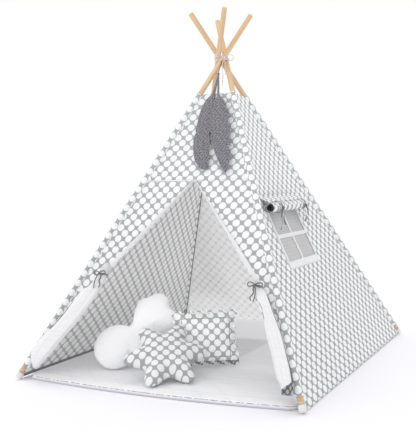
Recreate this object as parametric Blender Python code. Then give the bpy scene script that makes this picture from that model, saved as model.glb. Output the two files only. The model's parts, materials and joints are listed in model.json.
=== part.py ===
"""Child's play teepee: four lashed poles, a dotted canopy with a tied-back door and a shaded window,
a floor mat, three cushions and a pair of felt feathers. Metres, +Z up, door towards -Y, window towards +X."""

import math

import bmesh
import bpy
import numpy as np
from mathutils import Matrix, Vector

# Driving dimensions
base_width = 1.20
base_depth = 1.36
crossing_height = 1.293
pole_length = 1.812
pole_diameter = 0.022
canopy_top = 1.135
mat_thickness = 0.022
hem_lift = 0.0012
canopy_hem = mat_thickness + hem_lift
side_hem = 0.004
seam_height = 0.77
cloth = 0.002
gap = 0.0003

# Poles
lash_across = 0.0125
lash_along = 0.0129
pole_sides = 20
pole_edge = 0.0015

# Foot caps
cap_wall = 0.0022
cap_floor = 0.003
cap_depth = 0.020
cap_fillet = 0.003

# Elastic foot loops
loop_gap_from_cap = 0.015
loop_width = 0.007
loop_thickness = 0.0014
loop_rise = 0.009

# Sleeves
sleeve_bottom = 0.050
sleeve_slack = 0.0018
sleeve_wall = 0.0016
sleeve_sides = 14

# Canopy
side_sag = 0.012
front_sag = 0.006

# Lashing
lash_cord = 0.0032
lash_turns = 3
lash_pitch = 0.0042

for old in list(bpy.data.objects):
    bpy.data.objects.remove(old, do_unlink=True)

pole_radius = pole_diameter / 2
SIDE = {"left": -1, "right": 1, "front": -1, "back": 1}
CORNERS = [(depth, width) for depth in ("front", "back") for width in ("left", "right")]


# Materials


def material(name, colour, roughness, metallic=0.0):
    """A Principled material, made once and then shared by name."""
    found = bpy.data.materials.get(name)
    if found:
        return found
    made = bpy.data.materials.new(name)
    made.use_nodes = True
    shader = made.node_tree.nodes["Principled BSDF"]
    shader.inputs["Base Color"].default_value = (*colour, 1.0)
    shader.inputs["Roughness"].default_value = roughness
    shader.inputs["Metallic"].default_value = metallic
    made.diffuse_color = (*colour, 1.0)
    return made


pine = material("pine", (0.80, 0.58, 0.35), 0.55)
clear_rubber = material("clear_rubber", (0.78, 0.76, 0.72), 0.35)
white_elastic = material("white_elastic", (0.86, 0.86, 0.85), 0.8)
dotted_cotton = material("dotted_cotton", (0.62, 0.64, 0.64), 0.9)
white_quilt = material("white_quilt", (0.88, 0.88, 0.88), 0.9)
window_gauze = material("window_gauze", (0.55, 0.56, 0.57), 0.8)
beige_cord = material("beige_cord", (0.80, 0.70, 0.62), 0.85)
grey_felt = material("grey_felt", (0.17, 0.165, 0.175), 0.95)
mat_cotton = material("mat_cotton", (0.80, 0.80, 0.81), 0.9)


# Object helpers


def pivot_at(name, place):
    """An empty on a joint's axis, the parent of the pieces that move with that joint."""
    empty = bpy.data.objects.new(name, None)
    empty.location = place
    bpy.context.scene.collection.objects.link(empty)
    return empty


def add_object(name, data, surface, pivot=None):
    """Links a mesh or curve made in world coordinates, under its pivot where it has one."""
    data.materials.append(surface)
    made = bpy.data.objects.new(name, data)
    bpy.context.scene.collection.objects.link(made)
    if pivot:
        made.parent = pivot
        made.location = -pivot.location
    return made


def finish(work, name, surface, pivot=None, smooth=True):
    """Turns a bmesh into an object with outward faces and round stretches shaded smooth."""
    bmesh.ops.recalc_face_normals(work, faces=work.faces)
    mesh = bpy.data.meshes.new(name)
    work.to_mesh(mesh)
    work.free()
    if smooth:
        mesh.shade_smooth()
        mesh.set_sharp_from_angle(angle=math.radians(40))
    return add_object(name, mesh, surface, pivot)


def loft(name, rings, surface, pivot=None, closed=False, smooth=True):
    """Skins a row of equal rings of points; the ends are capped, or the last ring joins the first."""
    work = bmesh.new()
    made = [[work.verts.new(point) for point in ring] for ring in rings]
    pairs = list(zip(made, made[1:]))
    if closed:
        pairs.append((made[-1], made[0]))
    for low, high in pairs:
        count = len(low)
        for k in range(count):
            work.faces.new((low[k], low[(k + 1) % count], high[(k + 1) % count], high[k]))
    if not closed:
        work.faces.new(made[0])
        work.faces.new(made[-1])
    return finish(work, name, surface, pivot, smooth)


def prism(name, outline, place, thickness, surface, pivot=None):
    """A flat cut piece: an outline of (a, b) points, put in space by place(a, b, depth)."""
    near = [place(a, b, 0.0) for a, b in outline]
    far = [place(a, b, thickness) for a, b in outline]
    return loft(name, [near, far], surface, pivot, smooth=False)


def tube(name, points, radius, surface, pivot=None, cyclic=False, bevel_steps=2):
    """A round cord along a polyline, as a bevelled curve with filled caps."""
    curve = bpy.data.curves.new(name, "CURVE")
    curve.dimensions = "3D"
    curve.bevel_depth = radius
    curve.bevel_resolution = bevel_steps
    curve.use_fill_caps = not cyclic
    spline = curve.splines.new("POLY")
    spline.points.add(len(points) - 1)
    for slot, point in zip(spline.points, points):
        slot.co = (*point, 1.0)
    spline.use_cyclic_u = cyclic
    return add_object(name, curve, surface, pivot)


def smooth_path(knots, steps):
    """Points of a Catmull-Rom curve through the knots, steps to each stretch."""
    knots = [Vector(knot) for knot in knots]
    ends = [knots[0] * 2 - knots[1]] + knots + [knots[-1] * 2 - knots[-2]]
    path = []
    for a, b, c, d in zip(ends, ends[1:], ends[2:], ends[3:]):
        for k in range(steps):
            t = k / steps
            path.append(
                (b * 2 + (c - a) * t + (a * 2 - b * 5 + c * 4 - d) * t**2
                 + (b * 3 - a - c * 3 + d) * t**3) / 2
            )
    return path + [knots[-1]]


# Pole lines


def pole_line(depth, width):
    """The floor point of a pole's axis and its direction, which passes the crossing on its own side."""
    floor = Vector((SIDE[width] * base_width / 2, SIDE[depth] * base_depth / 2, 0.0))
    passing = Vector((-SIDE[depth] * lash_across, SIDE[width] * lash_along, crossing_height))
    return floor, (passing - floor).normalized()


def pole_at(corner, height):
    """The point of a pole's axis at a height above the floor."""
    floor, along = pole_line(*corner)
    return floor + along * (height / along.z)


def ring_round(corner, distance, radius, sides, lean=0.0, axial=0.0):
    """A ring of points about a pole, so far along it from the floor. Lean tips it towards the canopy."""
    floor, along = pole_line(*corner)
    inward = Vector((-floor.x, -floor.y, 0.0))
    inward = (inward - along * inward.dot(along)).normalized()
    across = along.cross(inward)
    points = []
    for k in range(sides):
        turn = 2 * math.pi * k / sides
        spoke = inward * math.cos(turn) + across * math.sin(turn)
        shift = distance + axial + lean * math.cos(turn)
        points.append(floor + along * shift + spoke * radius)
    return points


def tilt_of(corner):
    return math.acos(pole_line(*corner)[1].z)


def cap_start(corner):
    """How far along the pole the cap's flat end is, so that its rounded rim just stands on the floor."""
    tilt = tilt_of(corner)
    cap_radius = pole_radius + gap + cap_wall
    height = cap_fillet * (1 - math.cos(tilt)) + (cap_radius - cap_fillet) * math.sin(tilt)
    return height / math.cos(tilt)


def make_poles():
    for corner in CORNERS:
        start = cap_start(corner) + cap_floor + gap
        stations = [
            (start, pole_radius - pole_edge),
            (start + pole_edge, pole_radius),
            (pole_length - pole_edge, pole_radius),
            (pole_length, pole_radius - pole_edge),
        ]
        rings = [ring_round(corner, at, radius, pole_sides) for at, radius in stations]
        loft("pole_%s_%s" % corner, rings, pine)


def make_foot_caps():
    """A rubber cup on each pole's end: rounded rim below, pole socket above."""
    for corner in CORNERS:
        start = cap_start(corner)
        outer = pole_radius + gap + cap_wall
        inner = pole_radius + gap
        rim = start + cap_floor + cap_depth
        bend = [
            (start + cap_fillet * (1 - math.sin(turn)), outer - cap_fillet * (1 - math.cos(turn)))
            for turn in (math.pi / 2, math.pi / 4, 0.0)
        ]
        stations = bend + [(rim, outer), (rim, inner), (start + cap_floor, inner)]
        rings = [ring_round(corner, at, radius, pole_sides) for at, radius in stations]
        loft("foot_cap_%s_%s" % corner, rings, clear_rubber)


def loop_distance(corner):
    return cap_start(corner) + cap_floor + cap_depth + loop_gap_from_cap


def make_foot_loops():
    """A white elastic round each bare pole end, leaning up to the canopy corner that it holds down."""
    for corner in CORNERS:
        at = loop_distance(corner)
        inner = pole_radius + gap
        outer = inner + loop_thickness
        edges = [
            ring_round(corner, at, radius, pole_sides, loop_rise, shift)
            for radius, shift in (
                (inner, -loop_width / 2),
                (outer, -loop_width / 2),
                (outer, loop_width / 2),
                (inner, loop_width / 2),
            )
        ]
        loft("foot_loop_%s_%s" % corner, edges, white_elastic, closed=True)


sleeve_inner = pole_radius + sleeve_slack
sleeve_outer = sleeve_inner + sleeve_wall


def sleeve_droop(corner):
    """How far a sleeve's axis hangs from its pole's, when it rides on the pole's upper side."""
    floor, along = pole_line(*corner)
    outward = Vector((floor.x, floor.y, 0.0))
    outward = (outward - along * outward.dot(along)).normalized()
    return outward * (gap - sleeve_slack)


def make_sleeves():
    """The canopy's corner pockets, one round each pole."""
    for corner in CORNERS:
        along = pole_line(*corner)[1]
        low = sleeve_bottom / along.z
        high = (canopy_top - sleeve_wall) / along.z
        rings = [
            [point + sleeve_droop(corner) for point in ring_round(corner, at, radius, sleeve_sides)]
            for at, radius in (
                (low, sleeve_inner),
                (low, sleeve_outer),
                (high, sleeve_outer),
                (high, sleeve_inner),
            )
        ]
        loft("sleeve_%s_%s" % corner, rings, dotted_cotton, closed=True)


# Canopy faces: each is ruled between two poles, and named by the side that it faces

FACES = {
    "front": (("front", "left"), ("front", "right"), 0, front_sag, seam_height),
    "right": (("front", "right"), ("back", "right"), 1, side_sag, canopy_hem),
    "back": (("back", "left"), ("back", "right"), 0, side_sag, canopy_hem),
    "left": (("front", "left"), ("back", "left"), 1, side_sag, canopy_hem),
}


def face_normal(face):
    """The outward normal of the plane through the two floor points and the crossing."""
    if face in ("front", "back"):
        normal = Vector((0.0, SIDE[face] * crossing_height, base_depth / 2))
    else:
        normal = Vector((SIDE[face] * crossing_height, 0.0, base_width / 2))
    return normal.normalized()


def face_point(face, across, height, out=0.0):
    """A point of a canopy face, from its place across the face, its height and its distance outward."""
    start, end, axis, sag, sag_from = FACES[face]
    a = pole_at(start, height)
    b = pole_at(end, height)
    share = (across - a[axis]) / (b[axis] - a[axis])
    bulge = 0.0
    if sag_from < height < canopy_top:
        bulge = math.sin(math.pi * (height - sag_from) / (canopy_top - sag_from))
    inward = sag * 4 * share * (1 - share) * bulge
    return a + (b - a) * share + face_normal(face) * (out - inward)


def face_edges(face, height):
    """Where a face meets its two sleeves, with a hair of clearance to each."""
    start, end, axis, _, _ = FACES[face]
    a = pole_at(start, height)
    b = pole_at(end, height)
    across = (b - a).normalized()
    edges = []
    for corner, at, way in ((start, a, across), (end, b, -across)):
        along = pole_line(*corner)[1]
        skew = 1 - way.dot(along) ** 2
        pull = way.dot(sleeve_droop(corner))
        room = (sleeve_outer + gap) ** 2 - sleeve_droop(corner).length_squared
        reach = (pull + math.sqrt(pull**2 + skew * room)) / skew
        edges.append(at[axis] + way[axis] * reach)
    return edges


def cloth_sheet(name, face, columns, rows, surface, thickness=cloth, out=0.0, holes=(), pivot=None):
    """A sheet on a canopy face. A column gives a place across for a height; holes are cells left out."""
    work = bmesh.new()
    grid = [[work.verts.new(face_point(face, column(z), z, out)) for column in columns] for z in rows]
    for j in range(len(rows) - 1):
        for i in range(len(columns) - 1):
            if (i, j) not in holes:
                corners = (grid[j][i], grid[j][i + 1], grid[j + 1][i + 1], grid[j + 1][i])
                work.faces.new(corners)
    loose = [vert for vert in work.verts if not vert.link_faces]
    bmesh.ops.delete(work, geom=loose, context="VERTS")
    bmesh.ops.recalc_face_normals(work, faces=work.faces)
    made = finish(work, name, surface, pivot, smooth=False)
    solid = made.modifiers.new("cloth", "SOLIDIFY")
    solid.thickness = thickness
    solid.offset = 0.0
    return made


def across_edges(face, share):
    """A column at a share of the way from a face's left edge to its right edge."""

    def column(height):
        low, high = face_edges(face, height)
        return low + (high - low) * share

    return column


def spaced(low, high, count):
    return [low + (high - low) * k / count for k in range(count + 1)]


def make_plain_faces():
    """The two windowless walls, and the front above the door, each one panel from hem to top."""
    wall_shares = spaced(0.0, 1.0, 8)
    for face, hem in (("left", side_hem), ("back", canopy_hem)):
        columns = [across_edges(face, share) for share in wall_shares]
        cloth_sheet(face + "_panel", face, columns, spaced(hem, canopy_top, 8), dotted_cotton)
    columns = [across_edges("front", share) for share in wall_shares]
    rows = spaced(seam_height + gap, canopy_top, 4)
    cloth_sheet("front_upper_panel", "front", columns, rows, dotted_cotton)


# Window and its shade, on the right-hand wall

window_centre = -0.078
window_width = 0.335
window_bottom = 0.435
window_bar_height = 0.545
window_top = 0.655
bar_width = 0.016
sill_width = 0.026
tape = 0.0014
shade_width = 0.42
shade_centre = -0.070
shade_top = 0.705
shade_height = 0.646
shade_radius = 0.022
shade_cloth = 0.0018
shade_turns = 3
shade_drop = 0.27
ribbon = 0.0012
ribbon_width = 0.009
tail_length = 0.085

window_low = window_centre - window_width / 2
window_high = window_centre + window_width / 2
right_normal = face_normal("right")
down_right = Vector((0.0, 1.0, 0.0)).cross(right_normal).normalized()


def beside_window(across):
    """A column that is straight beside the window and leans in with the panel above it."""
    low, high = face_edges("right", window_top)
    leaning = across_edges("right", (across - low) / (high - low))
    return lambda height: across if height <= window_top else leaning(height)


def make_window():
    wall_shares = spaced(0.0, 1.0, 3)
    low, high = beside_window(window_low), beside_window(window_high)
    left_edge, right_edge = across_edges("right", 0.0), across_edges("right", 1.0)

    def between(start, end, share):
        return lambda height: start(height) * (1 - share) + end(height) * share

    columns = [between(left_edge, low, share) for share in wall_shares]
    columns += [beside_window(window_centre)]
    columns += [between(high, right_edge, share) for share in wall_shares]
    rows = spaced(side_hem, window_bottom, 3) + [window_bar_height]
    rows += spaced(window_top, canopy_top, 4)
    opening = {(i, j) for i in (3, 4) for j in (3, 4)}
    cloth_sheet("right_panel", "right", columns, rows, dotted_cotton, holes=opening)

    def fixed(across):
        return lambda height: across

    mesh_columns = [fixed(across) for across in spaced(window_low + gap, window_high - gap, 4)]
    mesh_rows = spaced(window_bottom + gap, window_top - gap, 3)
    cloth_sheet("window_mesh", "right", mesh_columns, mesh_rows, window_gauze, thickness=tape)

    bar_columns = [
        fixed(at + side * bar_width / 2)
        for at in (window_low, window_centre, window_high)
        for side in (-1, 1)
    ]
    bar_rows = [
        window_bottom - sill_width / 2,
        window_bottom + sill_width / 2,
        window_bar_height - bar_width / 2,
        window_bar_height + bar_width / 2,
        window_top - bar_width / 2,
        window_top + bar_width / 2,
    ]
    panes = {(i, j) for i in (1, 3) for j in (1, 3)}
    lift = cloth / 2 + 2 * gap + tape / 2
    cloth_sheet(
        "window_frame", "right", bar_columns, bar_rows, white_quilt, thickness=tape, out=lift, holes=panes
    )


def right_dev(across, height):
    """How far outward of its plain plane the right-hand wall lies, from the poles' offset at the lashing."""
    flat = Vector((base_width / 2, 0.0, 0.0))
    return (face_point("right", across, height) - flat).dot(right_normal)


def roll_out():
    """The shade roll's distance outward, which clears the window's bars all the way down."""
    highest = max(
        right_dev(across, height)
        for across in spaced(shade_centre - shade_width / 2, shade_centre + shade_width / 2, 8)
        for height in spaced(canopy_hem, shade_top, 8)
    )
    return highest + cloth / 2 + gap + tape + gap + ribbon + gap + shade_radius


def shade_place(across, height, out):
    """A point by height up the right-hand wall's plain plane, its distance outward and its place across."""
    on_plane = Vector((base_width / 2 * (1 - height / crossing_height), across, height))
    return on_plane + right_normal * out


def make_shade():
    """A blind of the canopy's cloth: its top hem, the spiral roll, and two ribbons tied round the roll."""
    out = roll_out()
    axis = shade_place(0.0, shade_height, out)
    pivot = pivot_at("shade_carrier", axis)
    ends = (shade_centre - shade_width / 2, shade_centre + shade_width / 2)

    points_per_turn = 16
    pitch = (shade_radius - shade_cloth) / (shade_turns + 1)
    up = -down_right

    def spiral(radius_shift):
        row = []
        for k in range(shade_turns * points_per_turn + 1):
            turn = 2 * math.pi * k / points_per_turn
            radius = shade_radius - shade_cloth / 2 - pitch * k / points_per_turn + radius_shift
            row.append((radius * math.cos(turn), radius * math.sin(turn)))
        return row

    outline = spiral(shade_cloth / 2) + spiral(-shade_cloth / 2)[::-1]

    def roll_point(a, b, depth):
        return axis + up * a - right_normal * b + Vector((0.0, ends[0] + depth, 0.0))

    prism("shade_roll", outline, roll_point, shade_width, dotted_cotton, pivot)

    hem_out = max(right_dev(across, shade_top) for across in spaced(*ends, 6)) + cloth / 2 + 2 * gap
    meet = axis + up * (shade_radius + gap + ribbon + gap)
    hem_top = shade_place(0.0, shade_top, hem_out + shade_cloth / 2)
    hem_low = shade_place(0.0, shade_top - shade_radius / 2, hem_out + shade_cloth / 2)
    profile = [hem_top, hem_low, (hem_low + meet) / 2 + right_normal * shade_cloth, meet]
    half = right_normal * (shade_cloth / 2)
    lower = [point - half for point in profile[:-1]] + [meet - right_normal * shade_cloth / 2]
    upper = [point + half for point in profile[:-1]] + [meet + right_normal * shade_cloth / 2]
    section = lower + upper[::-1]
    rings = [[point + Vector((0.0, end, 0.0)) for point in section] for end in ends]
    loft("shade_sheet", rings, dotted_cotton, smooth=False)

    inner = shade_radius + gap
    for name, share in (("front", 0.18), ("back", 0.80)):
        across = ends[0] + shade_width * share
        edges = []
        for radius, shift in (
            (inner, -ribbon_width / 2),
            (inner + ribbon, -ribbon_width / 2),
            (inner + ribbon, ribbon_width / 2),
            (inner, ribbon_width / 2),
        ):
            centre = axis + Vector((0.0, across + shift, 0.0))
            edges.append(
                [
                    centre + (up * math.cos(turn) + right_normal * math.sin(turn)) * radius
                    for turn in (2 * math.pi * k / 20 for k in range(20))
                ]
            )
        loft("shade_tie_" + name, edges, grey_felt, pivot, closed=True)
        make_shade_tails(name, axis + Vector((0.0, across, 0.0)), pivot)


def make_shade_tails(name, centre, pivot):
    """Two ribbon ends that hang from a shade tie's front as one folded strip, an inverted V."""
    spread_shares = (0.0, 0.30, 0.22, 0.42)
    drop_shares = (0.0, 0.35, 0.70, 1.0)
    out = shade_radius + gap + ribbon + gap
    half = ribbon_width / 2
    mirror = -1 if name == "front" else 1
    left = [(-spread * tail_length, drop * tail_length) for spread, drop in zip(spread_shares, drop_shares)]
    right = [
        (spread * tail_length * 0.4, drop * tail_length * 0.8)
        for spread, drop in zip(spread_shares, drop_shares)
    ]
    outline = [(a - half, b) for a, b in left] + [(a + half, b) for a, b in reversed(left[1:])]
    outline += [(0.0, half)] + [(a + half, b) for a, b in right[1:]]
    outline += [(a + half * 3, b) for a, b in reversed(right[1:])] + [(half, 0.0)]

    def tail_point(a, b, depth):
        return centre + Vector((out + depth, a * mirror, -b))

    prism("shade_tails_" + name, outline, tail_point, ribbon, grey_felt, pivot)


# Door: two curtains below the cross seam, each folded back, gathered and tied beside its pole

fold_top_gap = 0.006
fold_width_top = 0.010
fold_width_low = 0.026
fold_thickness = 0.004
tie_place_shares = {"left": (0.5200, 0.3047), "right": (0.5933, 0.2923)}
gather_foot_shares = {"left": (0.8283, 0.0572), "right": (0.8833, 0.0727)}
gather_half_widths = {"left": 0.046, "right": 0.030}
gather_sides = 20
door_cord = 0.004
front_normal = face_normal("front")
down_front = front_normal.cross(Vector((1.0, 0.0, 0.0))).normalized()
if down_front.z > 0:
    down_front = -down_front


def front_place(across, height, out):
    """A point by height up the front's plain plane, its distance outward and its place across."""
    on_plane = Vector((across, -base_depth / 2 * (1 - height / crossing_height), height))
    return on_plane + front_normal * out


def on_front(shares):
    """A place across the front and its height, as shares of the half width and the crossing's height."""
    return shares[0] * base_width / 2, shares[1] * crossing_height


def front_dev(across, height):
    flat = Vector((0.0, -base_depth / 2, 0.0))
    return (face_point("front", across, height) - flat).dot(front_normal)


def fold_line(height, side):
    """Where a curtain's folded edge lies: from the door's point to its tie, then down to the foot."""
    way = SIDE[side]
    tie_across, tie_height = on_front(tie_place_shares[side])
    if height >= tie_height:
        share = (seam_height - height) / (seam_height - tie_height)
        return way * tie_across * share
    share = (tie_height - height) / (tie_height - canopy_hem)
    foot = abs(face_edges("front", canopy_hem)[0]) - fold_width_top
    return way * (tie_across + (foot - tie_across) * share)


def door_pivot(side):
    """The corner where the cross seam meets the pole sleeve, which the gathered curtain swings about."""
    way = SIDE[side]
    across = way * abs(face_edges("front", seam_height)[0])
    return front_place(across, seam_height, 0.0)


def make_door_panel(side):
    """The part of a curtain that stays spread: seam above, sleeve outside, folded edge inside."""
    way = SIDE[side]
    pole_share = 0.0 if side == "left" else 1.0
    edge = across_edges("front", pole_share)
    tie_height = on_front(tie_place_shares[side])[1]

    def fold(height):
        return fold_line(height, side) + way * fold_top_gap / 2

    def between(share):
        return lambda height: edge(height) * (1 - share) + fold(height) * share

    columns = [between(share) for share in spaced(0.0, 1.0, 3)]
    rows = spaced(canopy_hem, tie_height, 3) + spaced(tie_height, seam_height - gap, 4)[1:]
    cloth_sheet("door_panel_" + side, "front", columns, rows, dotted_cotton)


def make_door_fold(side):
    """The white lining turned back over a curtain's edge, from the door's point nearly down to the tie."""
    way = SIDE[side]
    tie_height = on_front(tie_place_shares[side])[1]
    rows = spaced(seam_height - fold_width_low, tie_height + fold_width_low * 2, 6)
    rings = []
    for height in rows:
        share = (seam_height - height) / (seam_height - tie_height)
        width = fold_width_top + (fold_width_low - fold_width_top) * share
        inner = fold_line(height, side) + way * fold_top_gap / 2
        near = cloth / 2 + 2 * gap
        section = []
        for a_share, b_share in ((0.0, 0.0), (0.0, 0.7), (0.25, 1.0), (0.75, 1.0), (1.0, 0.6), (1.0, 0.0)):
            across = inner + way * width * a_share
            section.append(face_point("front", across, height, near + fold_thickness * b_share))
        rings.append(section)
    loft("door_fold_" + side, rings, white_quilt)


neck_half_width = 0.017
neck_half_depth = 0.010


def neck_out(side):
    """How far outward the tie cord's and the gathered neck's back are, clear of the curtain behind them."""
    way = SIDE[side]
    tie_across, tie_height = on_front(tie_place_shares[side])
    highest = max(
        front_dev(way * across, height)
        for across in spaced(tie_across - neck_half_width, tie_across + neck_half_width, 4)
        for height in spaced(tie_height - neck_half_depth, tie_height + neck_half_depth, 4)
    )
    return highest + cloth / 2 + gap


foot_half_depth = 0.015
tip_rise = 0.039
waist_share = 0.1
fold_ripple_share = 0.10


def gather_section(side, share, grow=0.0):
    """A ring of the gathered curtain, or one round it: share 0 is its tip above the tie, 1 its foot."""
    way = SIDE[side]
    foot_half_width = gather_half_widths[side]
    tie_across, tie_height = on_front(tie_place_shares[side])
    cord_room = door_cord + gap
    start = (tie_across - tip_rise * 0.55, tie_height + tip_rise)
    mid = (tie_across, tie_height)
    end = on_front(gather_foot_shares[side])
    if share < waist_share:
        local = share / waist_share
        across = start[0] + (mid[0] - start[0]) * local
        height = start[1] + (mid[1] - start[1]) * local
        open_share = (1 - local) * 0.5
    else:
        local = (share - waist_share) / (1 - waist_share)
        across = mid[0] + (end[0] - mid[0]) * local
        height = mid[1] + (end[1] - mid[1]) * local
        open_share = math.sin(min(1.0, local * 1.6) * math.pi / 2) - 0.35 * max(0.0, local * 6 - 5)
    half_width = neck_half_width + (foot_half_width - neck_half_width) * open_share
    half_depth = neck_half_depth + (foot_half_depth - neck_half_depth) * open_share
    sleeve_lift = max(0.0, (share - waist_share) / (1 - waist_share)) * (sleeve_outer + door_cord)
    out = neck_out(side) + cord_room + neck_half_depth + sleeve_lift + (half_depth - neck_half_depth)
    centre = front_place(way * across, height, out)
    run = (front_place(way * end[0], end[1], 0.0) - front_place(way * mid[0], mid[1], 0.0)).normalized()
    side_way = run.cross(front_normal).normalized()
    ring = []
    for k in range(gather_sides):
        turn = 2 * math.pi * k / gather_sides
        ripple = 1 - fold_ripple_share * open_share * (1 + math.cos(5 * turn)) / 2
        ring.append(
            centre
            + side_way * (half_width * ripple + grow) * math.cos(turn)
            + front_normal * (half_depth * ripple + grow) * math.sin(turn)
        )
    return ring


def bow_path(centre, right, up, out, loop_reach, loop_rise, cord, tails):
    """An unbroken bow: tail, two loops and tail, whose passes at the knot lie one behind another."""
    step = (cord + gap * 3) / math.pi
    count = 28
    path = []
    for k in range(count + 1):
        turn = -math.pi / 2 + 2 * math.pi * k / count
        flat = right * loop_reach * math.cos(turn) + up * loop_rise * math.sin(2 * turn)
        path.append(centre + flat + out * step * (turn + math.pi / 2))
    first = [path[0] + right * a + up * b + out * c for a, b, c in tails[0]]
    last = [path[-1] + right * a + up * b + out * c for a, b, c in tails[1]]
    return smooth_path(first[::-1] + [path[0]], 3)[:-1] + path + smooth_path([path[-1]] + last, 3)[1:]


def make_door_gather(side):
    way = SIDE[side]
    pivot = pivot_at("door_swing_" + side, door_pivot(side))
    shares = [0.0, 0.05, waist_share, 0.18, 0.3, 0.45, 0.6, 0.75, 0.9, 1.0]
    rings = [gather_section(side, share) for share in shares]
    loft("door_gather_" + side, rings, white_quilt, pivot)

    cord_radius = door_cord / 2
    noose = gather_section(side, waist_share, cord_radius + 2 * gap)
    middle = sum(noose, Vector()) / len(noose)
    tube("door_tie_" + side, noose, cord_radius, grey_felt, pivot, cyclic=True, bevel_steps=1)

    right = Vector((1.0, 0.0, 0.0)) * way
    up = -down_front
    front = middle + front_normal * (neck_half_depth + door_cord + gap + cord_radius + gap)
    reach = door_cord * 7
    tails = (
        [(-reach * 0.25, -reach * 0.5, 0.0), (-reach * 0.1, -reach * 1.1, 0.0),
         (-reach * 0.45, -reach * 1.7, 0.0), (-reach * 0.3, -reach * 2.1, 0.0)],
        [(reach * 0.2, -reach * 0.6, 0.0), (reach * 0.35, -reach * 1.3, 0.0),
         (reach * 0.25, -reach * 2.3, 0.0)],
    )
    path = bow_path(front, right, up, front_normal, reach, reach * 0.28, door_cord, tails)
    tube("door_bow_" + side, path, cord_radius, grey_felt, pivot, bevel_steps=1)


# Lashing

bow_loop_reach = 0.042
bow_tails = (
    [(-0.004, -0.015, 0.002), (-0.009, -0.042, 0.004), (-0.007, -0.075, 0.004), (-0.010, -0.120, 0.003)],
    [(0.002, -0.015, 0.002), (0.001, -0.042, 0.004), (0.003, -0.076, 0.006)],
)


def lash_touch(corner, turn):
    """Where the lashing's axis touches a leaning pole from one side, and how far out that is."""
    height = crossing_height + lash_pitch * (turn / (2 * math.pi) - lash_turns / 2)
    look = Vector((math.cos(turn), math.sin(turn), 0.0))
    reach = pole_radius + lash_cord / 2 + 2 * gap
    along = pole_line(*corner)[1]
    flat = Vector((along.x, along.y, 0.0)).normalized()
    side = Vector((-flat.y, flat.x, 0.0))
    long_half = reach / along.z
    a = look.dot(flat) * long_half
    b = look.dot(side) * reach
    size = math.hypot(a, b)
    centre = pole_at(corner, height)
    return centre + (flat * a * long_half + side * b * reach) / size, centre.dot(look) + size


def lash_path():
    """The lashing's line. It hugs each pole for a quarter turn, crosses to the next, and climbs."""
    order = [("front", "left"), ("front", "right"), ("back", "right"), ("back", "left")]
    quarter = math.pi / 2
    touches = 6

    def handover(step):
        """The turn at which two neighbouring poles reach equally far out."""
        low, high = (step - 0.5) * quarter, (step + 0.5) * quarter
        before, after = order[(step - 1) % 4], order[step % 4]
        for _ in range(30):
            turn = (low + high) / 2
            if lash_touch(before, turn - quarter)[1] > lash_touch(after, turn - quarter)[1]:
                low = turn
            else:
                high = turn
        return (low + high) / 2 - quarter

    path = []
    for step in range(4 * lash_turns + 1):
        begin, finish_turn = handover(step), handover(step + 1)
        for k in range(touches):
            turn = begin + (finish_turn - begin) * k / (touches - 1)
            path.append(lash_touch(order[step % 4], turn)[0])
    return path[touches // 2: -touches // 2]


def least_self_gap(path, diameter, apart):
    """The narrowest space between stretches of a tube that are at least so many points apart along it."""
    points = np.array(path)
    near = math.inf
    for k in range(len(points) - apart):
        rest = points[k + apart:]
        near = min(near, float(np.linalg.norm(rest - points[k], axis=1).min()))
    return near - diameter


def make_lashing():
    path = lash_path()
    print("lashing least self gap, mm:", round(1000 * least_self_gap(path, lash_cord, 12), 2))
    tube("lashing", path, lash_cord / 2, beige_cord, bevel_steps=1)

    knot_turn = math.radians(-50)
    outward = Vector((math.cos(knot_turn), math.sin(knot_turn), 0.0))
    right = Vector((-outward.y, outward.x, 0.0))
    up = Vector((0.0, 0.0, 1.0))
    reach = max(point.dot(outward) for point in path)
    front = outward * (reach + lash_cord - 2 * gap) + up * crossing_height
    bow = bow_path(front, right, up, outward, bow_loop_reach, bow_loop_reach * 0.3, lash_cord, bow_tails)
    tube("lashing_bow", bow, lash_cord / 2, beige_cord, bevel_steps=2)


# Feathers

feather_cord = 0.0028
feather_thickness = 0.003
feather_lift = 0.009
feather_width = 0.080
stem_half = 0.004
feather_hang = (0.008, 0.088)
feather_bases = {"left": (-0.002, 0.196), "right": (0.027, 0.194)}
feather_tips = {"left": (0.028, 0.547), "right": (0.135, 0.565)}
feather_shares = {
    "left": [
        (-0.026, -0.002), (0.000, -0.109), (0.036, -0.275), (0.091, -0.390), (0.157, -0.507),
        (0.237, -0.582), (0.329, -0.625), (0.409, -0.650), (0.475, -0.668), (0.493, -0.599),
        (0.528, -0.684), (0.601, -0.711), (0.693, -0.670), (0.784, -0.599), (0.865, -0.478),
        (0.936, -0.307), (0.991, -0.086), (1.006, 0.087), (0.994, 0.243), (0.942, 0.320),
        (0.877, 0.339), (0.810, 0.301), (0.753, 0.156), (0.714, 0.218), (0.665, 0.251),
        (0.596, 0.222), (0.532, 0.134), (0.483, 0.220), (0.392, 0.232), (0.276, 0.215),
        (0.159, 0.198), (0.077, 0.186), (-0.008, 0.154),
    ],
    "right": [
        (0.024, -0.048), (0.099, -0.244), (0.176, -0.415), (0.279, -0.522), (0.386, -0.572),
        (0.517, -0.556), (0.628, -0.501), (0.716, -0.440), (0.807, -0.334), (0.898, -0.208),
        (0.968, -0.075), (1.012, 0.044), (0.965, 0.175), (0.910, 0.269), (0.869, 0.295),
        (0.813, 0.203), (0.885, 0.383), (0.816, 0.402), (0.752, 0.401), (0.638, 0.121),
        (0.701, 0.440), (0.632, 0.454), (0.572, 0.424), (0.510, 0.310), (0.558, 0.480),
        (0.485, 0.486), (0.420, 0.476), (0.364, 0.424), (0.304, 0.250), (0.354, 0.502),
        (0.290, 0.495), (0.233, 0.447), (0.178, 0.337), (0.206, 0.449), (0.150, 0.405),
        (0.084, 0.288), (0.035, 0.163), (0.012, 0.086),
    ],
}


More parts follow.
